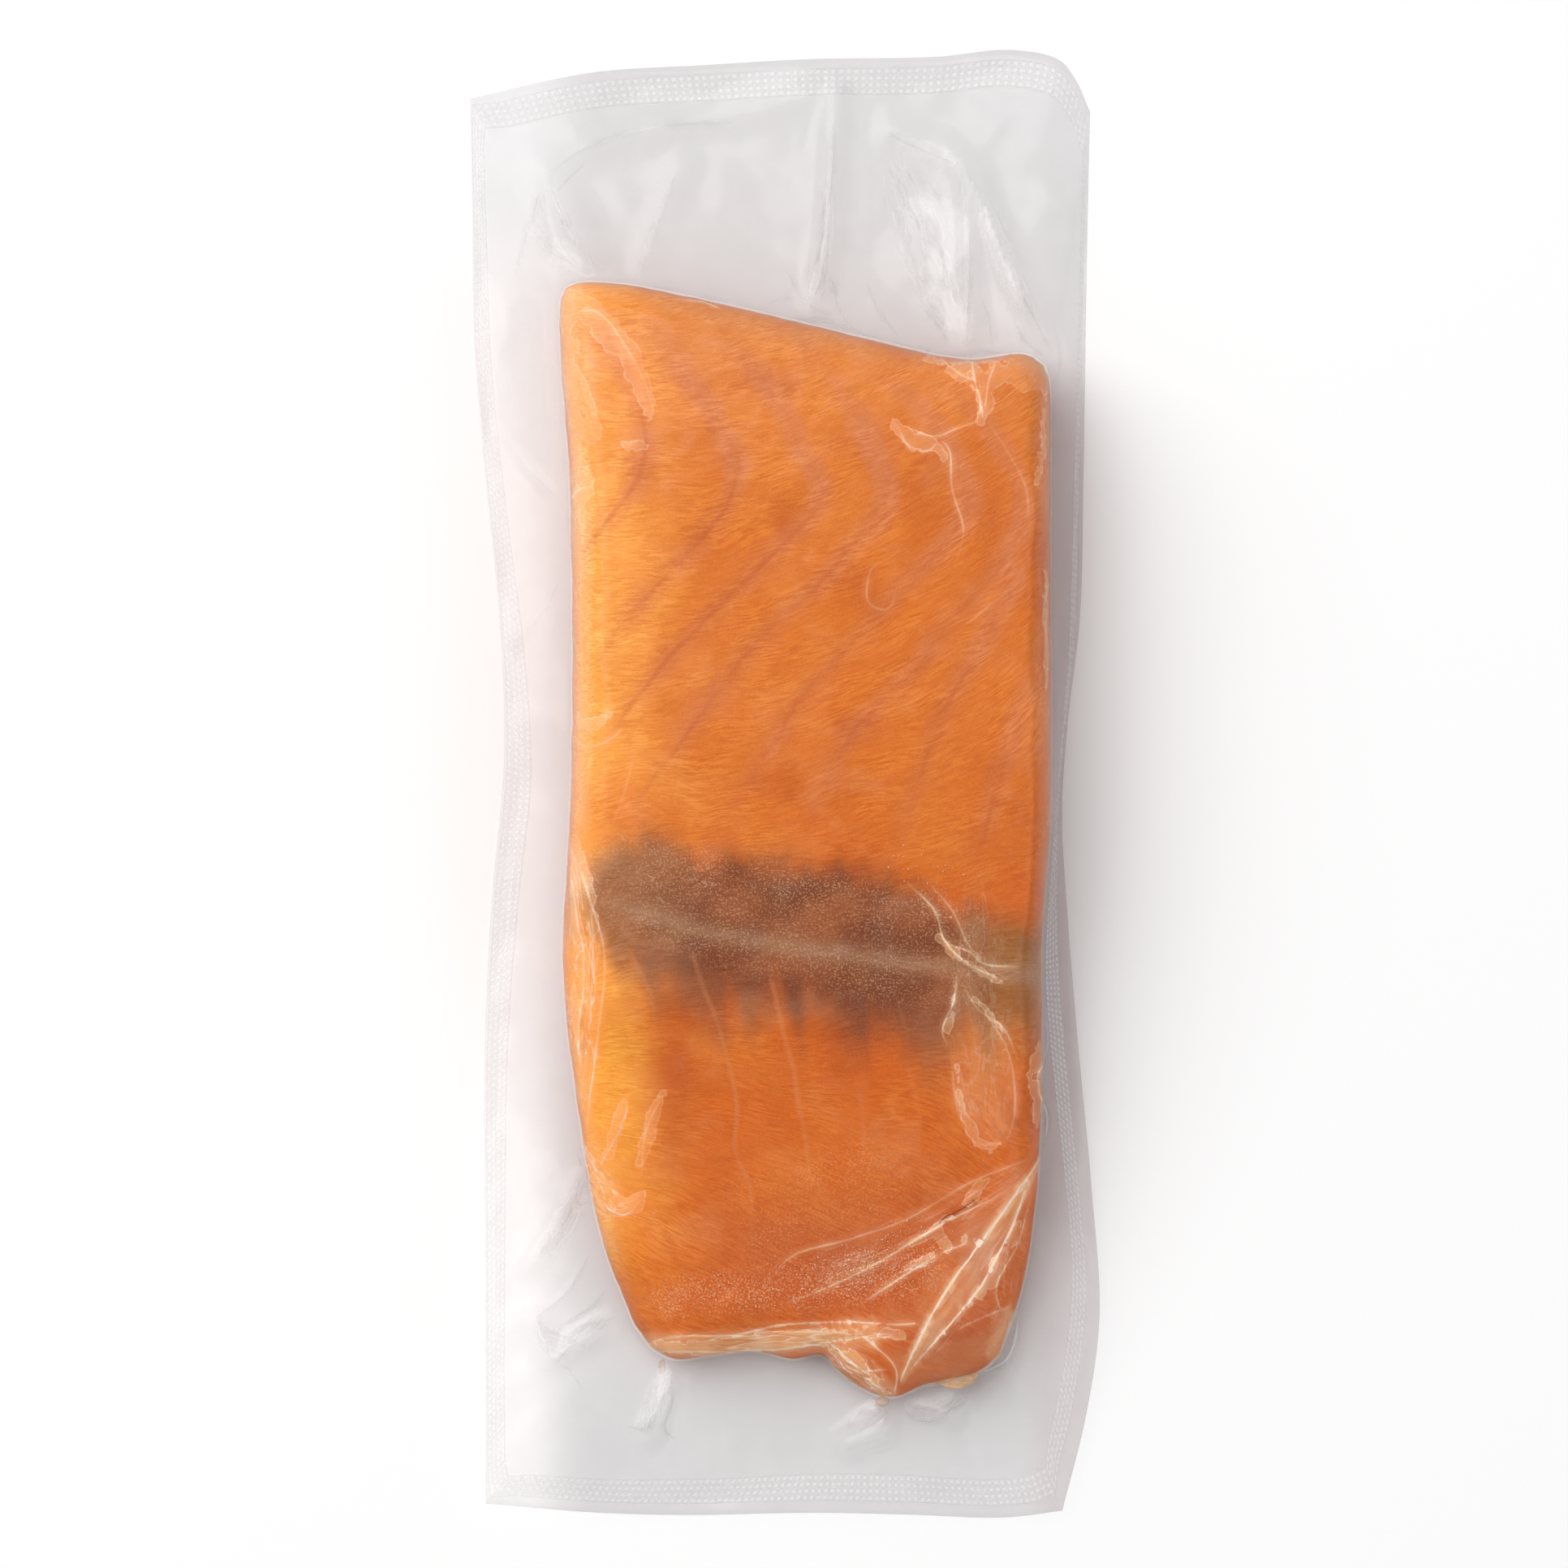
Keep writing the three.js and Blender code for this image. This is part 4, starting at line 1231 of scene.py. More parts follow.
@dataclass
class Pouch:
    """The clear film round the fish and out to the cut edge, as one closed skin."""

    form: PackForm
    finish: FilmFinish = FilmFinish()
    along: int = ALONG
    across: int = ACROSS
    apron_steps: int = 30
    shoulder_steps: int = 14
    lower_steps: int = 12
    undercut_steps: int = 5
    half: float = 0.1
    pocket_height: float = 0.3
    pockets: Sequence[AirTrail] = (
        AirTrail([(-27.0, 60.2, 0.8), (-22.8, 56.6, 1.5), (-19.0, 51.4, 1.5), (-16.9, 47.0, 1.0),
                  (-16.3, 44.2, 0.4)]),
        AirTrail([(-27.4, 58.0, 1.7), (-27.0, 51.0, 2.2), (-25.6, 47.6, 2.0), (-24.6, 44.6, 2.2),
                  (-23.4, 42.6, 1.2)]),
        AirTrail([(-26.4, 42.6, 0.9), (-25.6, 38.6, 1.3), (-24.0, 36.4, 1.0), (-25.6, 34.0, 1.2),
                  (-26.2, 31.0, 0.7)]),
        AirTrail([(-18.9, 40.9, 0.7), (-17.3, 41.1, 0.8)]),
        AirTrail([(-1.2, 57.2, 0.3), (2.0, 57.1, 0.7), (5.0, 56.1, 0.3)]),
        AirTrail([(8.0, 55.2, 0.3), (11.0, 54.5, 0.7), (14.0, 53.5, 0.4)]),
        AirTrail([(-12.0, 59.6, 0.2), (-9.0, 59.2, 0.5), (-6.0, 58.4, 0.2)]),
        AirTrail([(-25.8, 8.0, 0.8), (-23.4, 7.0, 0.7), (-21.4, 8.6, 0.4)]),
        AirTrail([(17.6, 51.8, 0.7), (20.6, 51.0, 1.6), (23.4, 49.0, 1.5), (24.6, 46.4, 0.9),
                  (23.8, 44.0, 0.4)]),
        AirTrail([(24.7, 51.3, 1.1), (27.4, 50.2, 1.5), (29.4, 48.6, 1.2), (32.0, 49.8, 1.2),
                  (32.6, 46.8, 0.8)]),
        AirTrail([(13.6, 43.4, 0.5), (15.6, 41.6, 1.2), (18.0, 41.2, 0.8), (19.4, 39.6, 0.5)]),
        AirTrail([(-25.8, -7.4, 1.0), (-24.8, -11.6, 1.4), (-24.3, -15.4, 1.6),
                  (-24.2, -20.4, 1.5), (-24.5, -26.4, 1.3), (-24.8, -32.4, 0.8)]),
        AirTrail([(-27.2, -24.4, 0.5), (-26.8, -28.4, 0.7), (-26.2, -31.4, 0.5)]),
        AirTrail([(-24.8, -44.4, 0.6), (-23.0, -48.4, 1.3), (-21.0, -51.2, 1.7),
                  (-18.6, -51.4, 1.0), (-17.4, -50.2, 0.4)]),
        AirTrail([(-14.8, -37.4, 0.4), (-16.4, -42.0, 0.8), (-17.6, -46.6, 0.4)]),
        AirTrail([(-19.4, -38.8, 0.3), (-20.4, -41.8, 0.8), (-21.6, -45.4, 0.5)]),
        AirTrail([(18.8, -18.6, 0.2), (20.4, -20.4, 0.4), (23.4, -22.4, 0.35),
                  (26.4, -24.0, 0.15)]),
        AirTrail([(20.4, -24.4, 0.1), (20.6, -26.8, 0.25), (19.8, -29.6, 0.3),
                  (20.2, -31.0, 0.15)]),
        AirTrail([(23.0, -26.0, 0.1), (25.0, -28.0, 0.3), (27.0, -30.8, 0.2)]),
        AirTrail([(20.9, -34.4, 0.2), (21.9, -40.4, 0.45), (24.4, -44.2, 0.45),
                  (27.2, -43.4, 0.3)]),
        AirTrail([(31.4, -32.4, 0.8), (30.6, -35.4, 1.1), (31.2, -38.4, 0.9), (30.8, -41.4, 0.6)]),
        AirTrail([(16.6, 52.6, 0.3), (20.0, 52.2, 0.9), (26.0, 52.3, 0.9), (31.4, 51.4, 1.0),
                  (33.2, 49.0, 0.8), (32.2, 46.0, 0.3)]),
        AirTrail([(24.9, 47.9, 0.4), (26.6, 49.6, 0.8), (29.4, 50.6, 0.9)]),
        AirTrail([(31.6, 45.6, 0.2), (31.3, 41.0, 0.4), (30.8, 36.6, 0.2)]),
        AirTrail([(32.6, 30.0, 0.4), (32.2, 22.0, 0.6), (32.4, 12.0, 0.4)]),
        AirTrail([(24.9, -48.1, 0.2), (23.2, -50.1, 0.5), (20.5, -52.7, 0.55), (17.3, -55.1, 0.5),
                  (15.6, -56.0, 0.2)]),
        AirTrail([(22.9, -55.2, 0.3), (18.2, -57.6, 0.6), (14.8, -59.0, 0.3)]),
        AirTrail([(22.6, -63.4, 0.5), (24.6, -61.4, 0.8), (26.8, -57.6, 0.7), (28.6, -53.6, 0.3)]),
        AirTrail([(-15.8, -68.8, 0.5), (-9.6, -69.0, 1.0), (-3.6, -68.4, 1.1), (2.4, -67.9, 1.0),
                  (8.4, -67.2, 0.8), (14.4, -67.2, 0.4)]),
        AirTrail([(6.4, -69.4, 0.6), (8.8, -71.0, 1.2), (10.6, -73.2, 0.9), (12.6, -74.8, 0.4)]),
    )
    contacts: Sequence[AirTrail] = (
        AirTrail([(-25.1, 54.9, 1.1)]),
        AirTrail([(-23.8, 51.4, 1.6), (-21.6, 50.6, 1.9), (-20.4, 49.6, 1.0)]),
        AirTrail([(-24.4, 44.6, 0.5)]),
        AirTrail([(20.0, 51.4, 0.6)]),
        AirTrail([(22.6, 49.6, 0.5), (23.4, 48.2, 0.3)]),
        AirTrail([(30.6, -35.6, 0.5)]),
        AirTrail([(18.9, 52.0, 0.5), (21.2, 51.6, 0.6)]),
        AirTrail([(23.3, 51.4, 0.6), (24.3, 50.4, 0.5)]),
        AirTrail([(25.6, 51.6, 0.6), (26.8, 50.9, 0.5)]),
        AirTrail([(28.4, 52.9, 0.5), (30.0, 52.7, 0.5)]),
        AirTrail([(-24.6, -19.0, 0.3), (-24.6, -23.0, 0.5), (-24.8, -26.0, 0.3)]),
        AirTrail([(23.0, -24.6, 0.5), (23.6, -25.4, 0.3)]),
    )
    hazes: Sequence[tuple[AirTrail, float, float]] = (
        (AirTrail([(-16.0, -68.8, 1.5), (-8.0, -68.8, 1.7), (3.0, -68.0, 1.7),
                   (10.0, -67.6, 1.8)]), 0.33, 0.6),
        (AirTrail([(15.0, -71.4, 1.6), (20.6, -70.4, 2.4), (25.6, -68.6, 1.4)]), 0.12, 1.0),
        (AirTrail([(21.6, -24.0, 1.4), (22.6, -29.0, 3.0), (24.2, -36.0, 3.4),
                   (24.6, -42.0, 2.4)]), 0.07, 0.5),
        (AirTrail([(6.4, -69.6, 1.4), (9.6, -72.4, 2.0), (12.6, -74.6, 1.2)]), 0.26, 0.5),
        (AirTrail([(27.4, -66.0, 1.6), (26.0, -69.6, 1.4)]), 0.3, 0.6),
        (AirTrail([(-20.0, -16.0, 7.0), (0.0, -19.0, 8.0), (16.0, -22.0, 8.0)]), 0.02, 4.0),
        (AirTrail([(-28.0, 60.0, 2.4), (-14.0, 60.6, 1.6), (6.0, 56.4, 1.8),
                   (24.0, 52.0, 2.2)]), 0.03, 1.6),
        (AirTrail([(18.0, -64.0, 1.8), (23.0, -56.0, 2.0), (29.0, -48.0, 1.4)]), 0.1, 1.2),
        (AirTrail([(-25.6, -4.0, 1.6), (-25.4, 20.0, 1.2), (-26.0, 33.0, 1.4)]), 0.06, 1.2),
        (AirTrail([(31.2, -46.2, 0.4), (27.5, -52.0, 1.0), (23.4, -59.0, 1.2), (19.4, -65.0, 1.3),
                   (14.4, -72.6, 0.5)]), 0.32, 0.3),
        (AirTrail([(-25.4, -8.0, 0.8), (-24.5, -14.0, 1.3), (-24.0, -24.0, 1.2),
                   (-24.4, -38.0, 0.8)]), 0.13, 0.5),
        (AirTrail([(-27.6, 57.5, 1.2), (-25.6, 51.5, 2.8), (-24.8, 45.0, 2.0)]), 0.12, 0.5),
    )
    frost_fields: Sequence[tuple[AirTrail, float]] = (
        (AirTrail([(-19.0, -12.0, 6.0), (0.0, -17.0, 7.0), (17.0, -20.0, 7.0)]), 0.6),
        (AirTrail([(-14.0, -63.0, 2.2), (-5.0, -62.0, 2.6), (8.0, -60.6, 3.2),
                   (17.0, -59.0, 3.2)]), 1.0),
        (AirTrail([(-2.0, -52.0, 5.0), (10.0, -48.0, 5.0)]), 0.35),
    )
    fish_creases: Sequence[Crease] = (
        Crease([(31.6, -45.2), (28.6, -49.4), (25.4, -53.9), (22.9, -57.4), (20.6, -60.6),
                (17.6, -65.6), (15.6, -69.6), (13.5, -74.6)], 1.0, 1.6, 1.15),
        Crease([(31.2, -46.0), (29.4, -49.4), (27.9, -53.7), (25.9, -57.7), (23.7, -61.7),
                (20.5, -65.7), (17.6, -69.0), (13.9, -73.4)], 0.6, 1.0, 0.75),
        Crease([(31.4, -45.2), (23.1, -48.4), (14.7, -53.2), (7.8, -55.6), (0.8, -57.7),
                (-2.6, -61.6)], 0.35, 1.6, 0.28),
        Crease([(28.0, -49.4), (25.9, -50.4), (18.9, -53.9), (12.0, -58.1), (5.0, -61.6),
                (-0.6, -63.6)], 0.35, 1.3, 0.34),
        Crease([(28.0, -53.0), (25.2, -55.3), (21.7, -56.3), (18.9, -57.4), (13.3, -60.9),
                (9.2, -63.6)], 0.4, 1.2, 0.4),
        Crease([(29.8, -51.4), (28.4, -56.4), (25.8, -61.4), (26.6, -64.4),
                (28.3, -63.6)], 0.5, 1.1, 0.35),
        Crease([(-16.5, -68.2), (-13.1, -67.5), (-6.1, -67.3), (-0.6, -66.1), (7.8, -65.7),
                (16.1, -65.9), (21.7, -63.6)], 0.45, 1.1, 0.42),
        Crease([(-15.9, -69.5), (-8.9, -69.2), (-2.0, -69.2), (3.6, -68.5), (9.2, -67.5),
                (15.4, -67.8)], 0.4, 0.9, 0.36),
        Crease([(-6.4, -69.4), (-5.6, -67.6), (-0.4, -66.9), (5.4, -66.9),
                (10.4, -66.3)], 0.3, 0.8, 0.3),
        Crease([(8.6, -66.6), (11.2, -68.8), (13.6, -71.4), (13.4, -75.2)], 0.7, 1.3, 0.5),
        Crease([(4.8, -67.6), (8.4, -70.6), (11.8, -74.0)], 0.5, 1.1, 0.45),
        Crease([(6.8, -70.8), (9.4, -71.6), (12.8, -71.6)], 0.4, 0.9, 0.4),
        Crease([(13.7, -75.1), (18.9, -73.6), (23.4, -72.3), (27.2, -70.8), (28.6, -66.4),
                (28.3, -63.6)], 0.6, 1.3, 0.5),
        Crease([(18.9, -67.8), (23.1, -65.7), (28.3, -63.6)], 0.35, 1.0, 0.26),
        Crease([(-27.0, 56.7), (-22.8, 57.3), (-19.3, 53.2), (-16.5, 47.6),
                (-15.9, 44.8)], 0.25, 0.9, 0.25),
        Crease([(22.7, 52.0), (23.0, 49.4), (23.6, 46.9), (24.1, 44.1)], 0.35, 0.8, 0.5),
        Crease([(25.9, 51.8), (24.7, 48.6), (24.3, 46.0), (23.8, 44.4)], 0.3, 0.7, 0.4),
        Crease([(18.6, 52.6), (20.6, 50.0), (22.8, 48.9), (24.3, 46.6)], 0.25, 0.7, 0.3),
        Crease([(23.8, 44.1), (21.0, 43.1), (18.2, 42.1), (14.4, 43.4)], 0.2, 0.6, 0.3),
        Crease([(24.5, 44.1), (27.2, 40.0), (29.3, 35.8), (29.6, 31.6)], 0.25, 0.9, 0.14),
        Crease([(18.2, 42.1), (19.9, 40.7), (20.3, 35.8), (21.7, 30.9),
                (21.3, 28.2)], 0.18, 0.6, 0.34),
        Crease([(13.9, 43.0), (15.0, 41.0), (17.6, 40.4), (18.8, 42.2)], 0.15, 0.5, 0.22),
        Crease([(12.4, 27.2), (10.6, 26.1), (10.2, 21.9), (12.6, 21.2),
                (13.6, 23.6)], 0.1, 0.5, 0.18),
        Crease([(28.6, 24.7), (25.2, 21.9), (21.7, 19.1)], 0.15, 0.8, 0.12),
        Crease([(-26.4, 31.4), (-25.9, 34.0), (-24.5, 35.8), (-22.8, 36.1)], 0.2, 0.7, 0.3),
        Crease([(-19.3, 7.0), (-21.4, 5.2), (-24.2, 4.5), (-26.0, 6.4)], 0.2, 0.7, 0.24),
        Crease([(-18.0, 4.4), (-19.4, -1.0), (-21.0, -5.4)], 0.12, 0.7, 0.12),
        Crease([(-26.6, -6.4), (-24.5, -10.4), (-23.1, -15.3), (-22.1, -18.8), (-21.8, -22.3),
                (-22.5, -29.2), (-23.5, -37.5), (-24.5, -44.5)], 0.4, 1.1, 0.34),
        Crease([(-25.9, -10.4), (-25.0, -15.4), (-24.3, -22.3), (-24.7, -29.2),
                (-24.9, -36.2)], 0.3, 0.8, 0.34),
        Crease([(-23.9, -12.4), (-23.2, -18.0), (-23.3, -24.4), (-23.7, -31.4)], 0.2, 0.6, 0.28),
        Crease([(-24.9, -50.1), (-22.1, -45.9), (-19.3, -40.3), (-19.0, -38.2)], 0.25, 0.8, 0.26),
        Crease([(-17.4, -47.6), (-16.9, -42.4), (-14.9, -38.0)], 0.2, 0.6, 0.22),
        Crease([(-24.2, -46.8), (-22.4, -50.8), (-19.4, -52.6), (-17.4, -50.6)], 0.25, 0.7, 0.34),
        Crease([(-25.0, -43.0), (-23.4, -48.4), (-22.8, -53.4), (-21.4, -57.4)], 0.25, 0.8, 0.26),
        Crease([(14.7, -11.8), (18.2, -15.3), (19.4, -18.9), (22.0, -21.6),
                (27.0, -24.1)], 0.45, 0.9, 0.4),
        Crease([(17.0, -11.4), (20.4, -15.4), (22.4, -19.6), (25.2, -22.3),
                (27.4, -24.2)], 0.4, 0.9, 0.22),
        Crease([(19.6, -19.6), (22.2, -20.2), (24.2, -21.8), (28.6, -22.2)], 0.3, 0.8, 0.34),
        Crease([(21.0, -22.3), (20.6, -26.4), (19.2, -29.9), (19.9, -32.0)], 0.25, 0.7, 0.34),
        Crease([(21.7, -24.5), (24.2, -27.6), (27.0, -32.0), (28.0, -36.4), (27.9, -41.1),
                (26.4, -44.9)], 0.25, 0.8, 0.2),
        Crease([(20.3, -32.0), (20.6, -36.4), (21.3, -40.3), (23.4, -43.8),
                (27.2, -43.8)], 0.2, 0.7, 0.16),
        Crease([(21.6, -24.4), (23.6, -27.4), (26.6, -29.6), (28.4, -33.4)], 0.25, 0.7, 0.26),
        Crease([(31.4, -33.1), (30.7, -37.5), (32.1, -40.3), (31.8, -45.0)], 0.35, 0.8, 0.4),
        Crease([(32.0, -28.0), (32.2, -32.0), (31.0, -35.0)], 0.25, 0.7, 0.3),
        Crease([(0.1, 57.2), (6.4, 56.4), (12.0, 54.2), (18.9, 52.3), (25.9, 52.8),
                (31.5, 51.0)], 0.2, 0.8, 0.22),
        Crease([(-26.6, 61.0), (-18.0, 61.0), (-8.0, 58.9), (0.1, 56.8)], 0.15, 0.7, 0.2),
        Crease([(-1.6, 57.6), (1.4, 56.6), (4.6, 56.9), (8.4, 55.4)], 0.2, 0.6, 0.4),
        Crease([(11.6, 53.9), (14.8, 53.6), (18.4, 52.7)], 0.2, 0.6, 0.4),
        Crease([(-13.0, 58.9), (-9.8, 58.6), (-7.4, 57.6)], 0.15, 0.6, 0.3),
    )
    apron_creases: Sequence[Crease] = (
        Crease([(-29.5, 74.5), (-31.9, 66.3), (-33.0, 62.4)], 0.4, 1.1, 0.22),
        Crease([(-29.2, 74.8), (-26.7, 68.5), (-23.4, 62.7)], 0.5, 1.1, 0.28),
        Crease([(-29.7, 66.3), (-26.5, 64.1), (-23.2, 62.7)], 0.6, 1.3, 0.3),
        Crease([(-28.9, 74.8), (-25.9, 77.2), (-21.5, 79.4), (-15.5, 80.8),
                (-6.0, 81.4)], 0.25, 0.9, 0.11),
        Crease([(-28.6, 71.4), (-26.8, 74.0), (-24.4, 76.4)], 0.25, 0.8, 0.14),
        Crease([(-15.5, 70.1), (-17.1, 65.2), (-18.2, 61.9)], 0.3, 0.8, 0.12),
        Crease([(-13.4, 75.0), (-15.4, 69.2), (-17.4, 63.4)], 0.25, 0.8, 0.1),
        Crease([(6.0, 81.6), (5.8, 74.5), (5.1, 69.6), (4.7, 64.1), (4.1, 60.8),
                (1.1, 57.5)], 0.6, 1.0, 0.25),
        Crease([(4.9, 72.0), (4.4, 64.1), (4.7, 57.5)], 0.3, 0.7, 0.17),
        Crease([(5.8, 61.9), (6.9, 57.5), (8.5, 55.9)], 0.4, 0.8, 0.22),
        Crease([(0.6, 62.7), (1.7, 59.7), (3.4, 58.4), (6.4, 57.2)], 0.4, 0.8, 0.2),
        Crease([(-2.0, 58.9), (0.8, 59.6), (3.9, 58.2)], 0.3, 0.7, 0.17),
        Crease([(12.9, 80.0), (16.2, 78.3), (20.0, 76.7), (21.7, 76.1)], 0.6, 1.1, 0.28),
        Crease([(21.7, 76.1), (22.2, 70.7), (22.5, 61.9), (22.5, 54.2)], 0.6, 0.9, 0.28),
        Crease([(22.3, 75.6), (25.0, 69.0), (27.2, 63.0), (30.4, 57.5),
                (32.6, 53.1)], 0.5, 0.9, 0.23),
        Crease([(14.2, 72.6), (16.6, 68.4), (19.6, 63.4), (21.6, 58.6)], 0.4, 0.9, 0.22),
        Crease([(17.6, 74.2), (19.6, 70.4), (21.2, 66.4)], 0.4, 0.9, 0.25),
        Crease([(10.2, 61.3), (11.8, 57.5), (14.1, 54.8)], 0.35, 0.8, 0.19),
        Crease([(16.7, 58.6), (18.6, 56.4), (20.0, 54.3)], 0.3, 0.7, 0.17),
        Crease([(24.2, 59.6), (25.2, 56.4), (25.4, 53.8)], 0.3, 0.7, 0.19),
        Crease([(28.4, 56.4), (29.4, 54.4), (31.8, 52.4)], 0.3, 0.7, 0.19),
        Crease([(-33.6, 41.0), (-27.8, 35.0)], 0.3, 1.2, 0.08),
        Crease([(-32.8, 18.0), (-29.4, 21.4), (-27.4, 25.4)], 0.2, 1.0, 0.06),
        Crease([(-24.5, -47.6), (-27.0, -53.9), (-29.8, -58.1)], 0.4, 0.9, 0.2),
        Crease([(-24.0, -58.0), (-26.6, -62.4), (-31.0, -66.0)], 0.3, 0.9, 0.14),
        Crease([(-30.6, -65.2), (-28.0, -70.9), (-25.6, -67.8), (-20.7, -65.4)], 0.5, 0.9, 0.23),
        Crease([(-28.0, -70.9), (-26.6, -71.9), (-24.8, -74.4)], 0.3, 0.7, 0.14),
        Crease([(-22.0, -62.4), (-23.8, -64.4), (-27.6, -66.6)], 0.3, 0.8, 0.17),
        Crease([(-14.8, -71.3), (-15.5, -74.8), (-16.9, -79.3), (-19.3, -78.9)], 0.5, 0.9, 0.28),
        Crease([(-14.6, -71.3), (-13.8, -75.5), (-14.8, -79.3), (-13.4, -80.7)], 0.4, 0.8, 0.2),
        Crease([(-14.6, -72.6), (-15.0, -75.4), (-16.0, -78.6)], 0.3, 0.7, 0.2),
        Crease([(7.8, -79.3), (9.2, -77.2), (12.0, -76.8), (12.3, -77.9),
                (9.2, -79.6)], 0.6, 1.0, 0.3),
        Crease([(14.7, -75.5), (15.4, -77.5), (18.2, -78.2), (21.7, -75.8),
                (23.1, -74.1)], 0.4, 0.9, 0.21),
        Crease([(13.4, -75.6), (12.0, -77.0), (9.4, -79.6)], 0.5, 0.9, 0.22),
    )
    crumples: Sequence[Crumple] = (
        Crumple([(22.5, -9.0, 1.4), (23.5, -16.0, 3.2), (23.8, -24.0, 4.0), (24.0, -33.0, 4.2),
                 (25.0, -41.0, 3.4), (27.0, -46.0, 1.6)], 5.0, 6.0, 0.36),
        Crumple([(31.0, -45.5, 0.8), (24.0, -50.5, 3.0), (14.0, -56.5, 4.0),
                 (2.0, -60.5, 3.0)], 6.0, 13.0, 0.4),
        Crumple([(31.4, -45.5, 0.7), (27.2, -53.4, 2.0), (23.6, -59.6, 2.4), (18.6, -67.2, 2.2),
                 (14.2, -74.0, 0.9)], 3.0, 14.0, 0.4),
        Crumple([(-16.5, -68.4, 0.8), (-8.0, -67.8, 1.6), (2.0, -67.4, 1.8), (10.0, -66.8, 2.0),
                 (17.0, -66.2, 1.0)], 3.0, 10.0, 0.5),
        Crumple([(5.0, -68.5, 1.2), (9.0, -71.4, 2.2), (13.0, -74.6, 1.0)], 3.0, 4.0, 0.8),
        Crumple([(-25.8, -6.0, 0.8), (-24.6, -14.0, 1.8), (-24.0, -24.0, 2.0),
                 (-24.4, -34.0, 1.8), (-24.6, -43.0, 1.0)], 4.0, 8.0, 0.55),
        Crumple([(-25.0, -44.0, 0.8), (-22.4, -49.0, 2.2), (-20.4, -52.0, 2.0),
                 (-17.8, -51.0, 0.8)], 4.0, 4.0, 0.6),
        Crumple([(28.4, -50.0, 0.8), (28.0, -58.0, 2.0), (26.6, -66.0, 1.8),
                 (22.0, -71.0, 1.0)], 3.0, 7.0, 0.4),
        Crumple([(12.5, 80.0, 1.2), (16.0, 70.0, 4.2), (19.0, 61.0, 3.8),
                 (21.5, 54.0, 1.8)], 4.0, 8.0, 0.24),
        Crumple([(24.0, 74.0, 0.8), (27.0, 64.0, 2.4), (31.0, 55.0, 1.4)], 3.0, 9.0, 0.24),
        Crumple([(-30.0, 75.0, 0.8), (-28.5, 68.0, 3.2), (-24.6, 62.8, 1.2)], 4.0, 6.0, 0.24),
        Crumple([(-24.0, -47.0, 0.8), (-27.0, -54.0, 2.2), (-30.5, -59.5, 1.2)], 3.0, 6.0, 0.3),
        Crumple([(-31.0, -65.5, 1.0), (-27.0, -68.5, 2.4), (-21.0, -65.5, 1.2)], 3.0, 5.0, 0.26),
        Crumple([(-14.4, -71.5, 0.8), (-15.4, -76.0, 1.8), (-16.8, -80.0, 1.2)], 3.0, 5.0, 0.26),
        Crumple([(14.0, -75.5, 1.0), (18.0, -77.2, 1.6), (23.0, -74.5, 0.8)], 3.0, 5.0, 0.26),
        Crumple([(5.6, 76.0, 0.8), (4.8, 66.0, 1.5), (3.0, 58.0, 1.5)], 2.0, 10.0, 0.3),
        Crumple([(31.4, 50.0, 0.6), (31.8, 30.0, 1.0), (31.8, 10.0, 0.8)], 2.0, 12.0, 0.3),
    )
    # Painted highlights: white patches on the apron's folds, where light catches the film.
    painted_highlight_trails: Sequence[AirTrail] = (
        AirTrail([(-31.6, 58.0, 2.2), (-32.4, 48.0, 3.4), (-31.0, 40.0, 2.8), (-29.6, 36.0, 1.0)]),
        AirTrail([(-28.6, 66.6, 1.4), (-25.6, 64.2, 1.9), (-23.6, 62.8, 0.9)]),
        AirTrail([(13.4, 79.6, 0.8), (16.6, 78.0, 1.6), (20.4, 76.4, 1.0)]),
        AirTrail([(15.4, 71.6, 1.0), (18.8, 70.0, 2.6), (20.6, 65.6, 2.2), (17.4, 63.0, 1.4)]),
        AirTrail([(18.4, 60.6, 1.0), (21.0, 57.4, 2.0), (22.4, 55.0, 1.0)]),
        AirTrail([(24.4, 70.0, 0.5), (26.0, 65.0, 1.0), (28.6, 60.0, 0.8)]),
        AirTrail([(-30.2, -65.8, 0.6), (-28.6, -68.6, 1.2), (-26.0, -66.6, 0.9),
                  (-23.0, -64.6, 0.6)]),
        AirTrail([(-14.6, -72.0, 0.9), (-15.6, -75.6, 1.1), (-17.0, -77.6, 0.7)]),
        AirTrail([(8.4, -77.4, 1.0), (10.4, -76.4, 1.0)]),
        AirTrail([(15.4, -76.0, 0.9), (18.0, -76.0, 1.1), (20.4, -75.2, 0.6)]),
    )

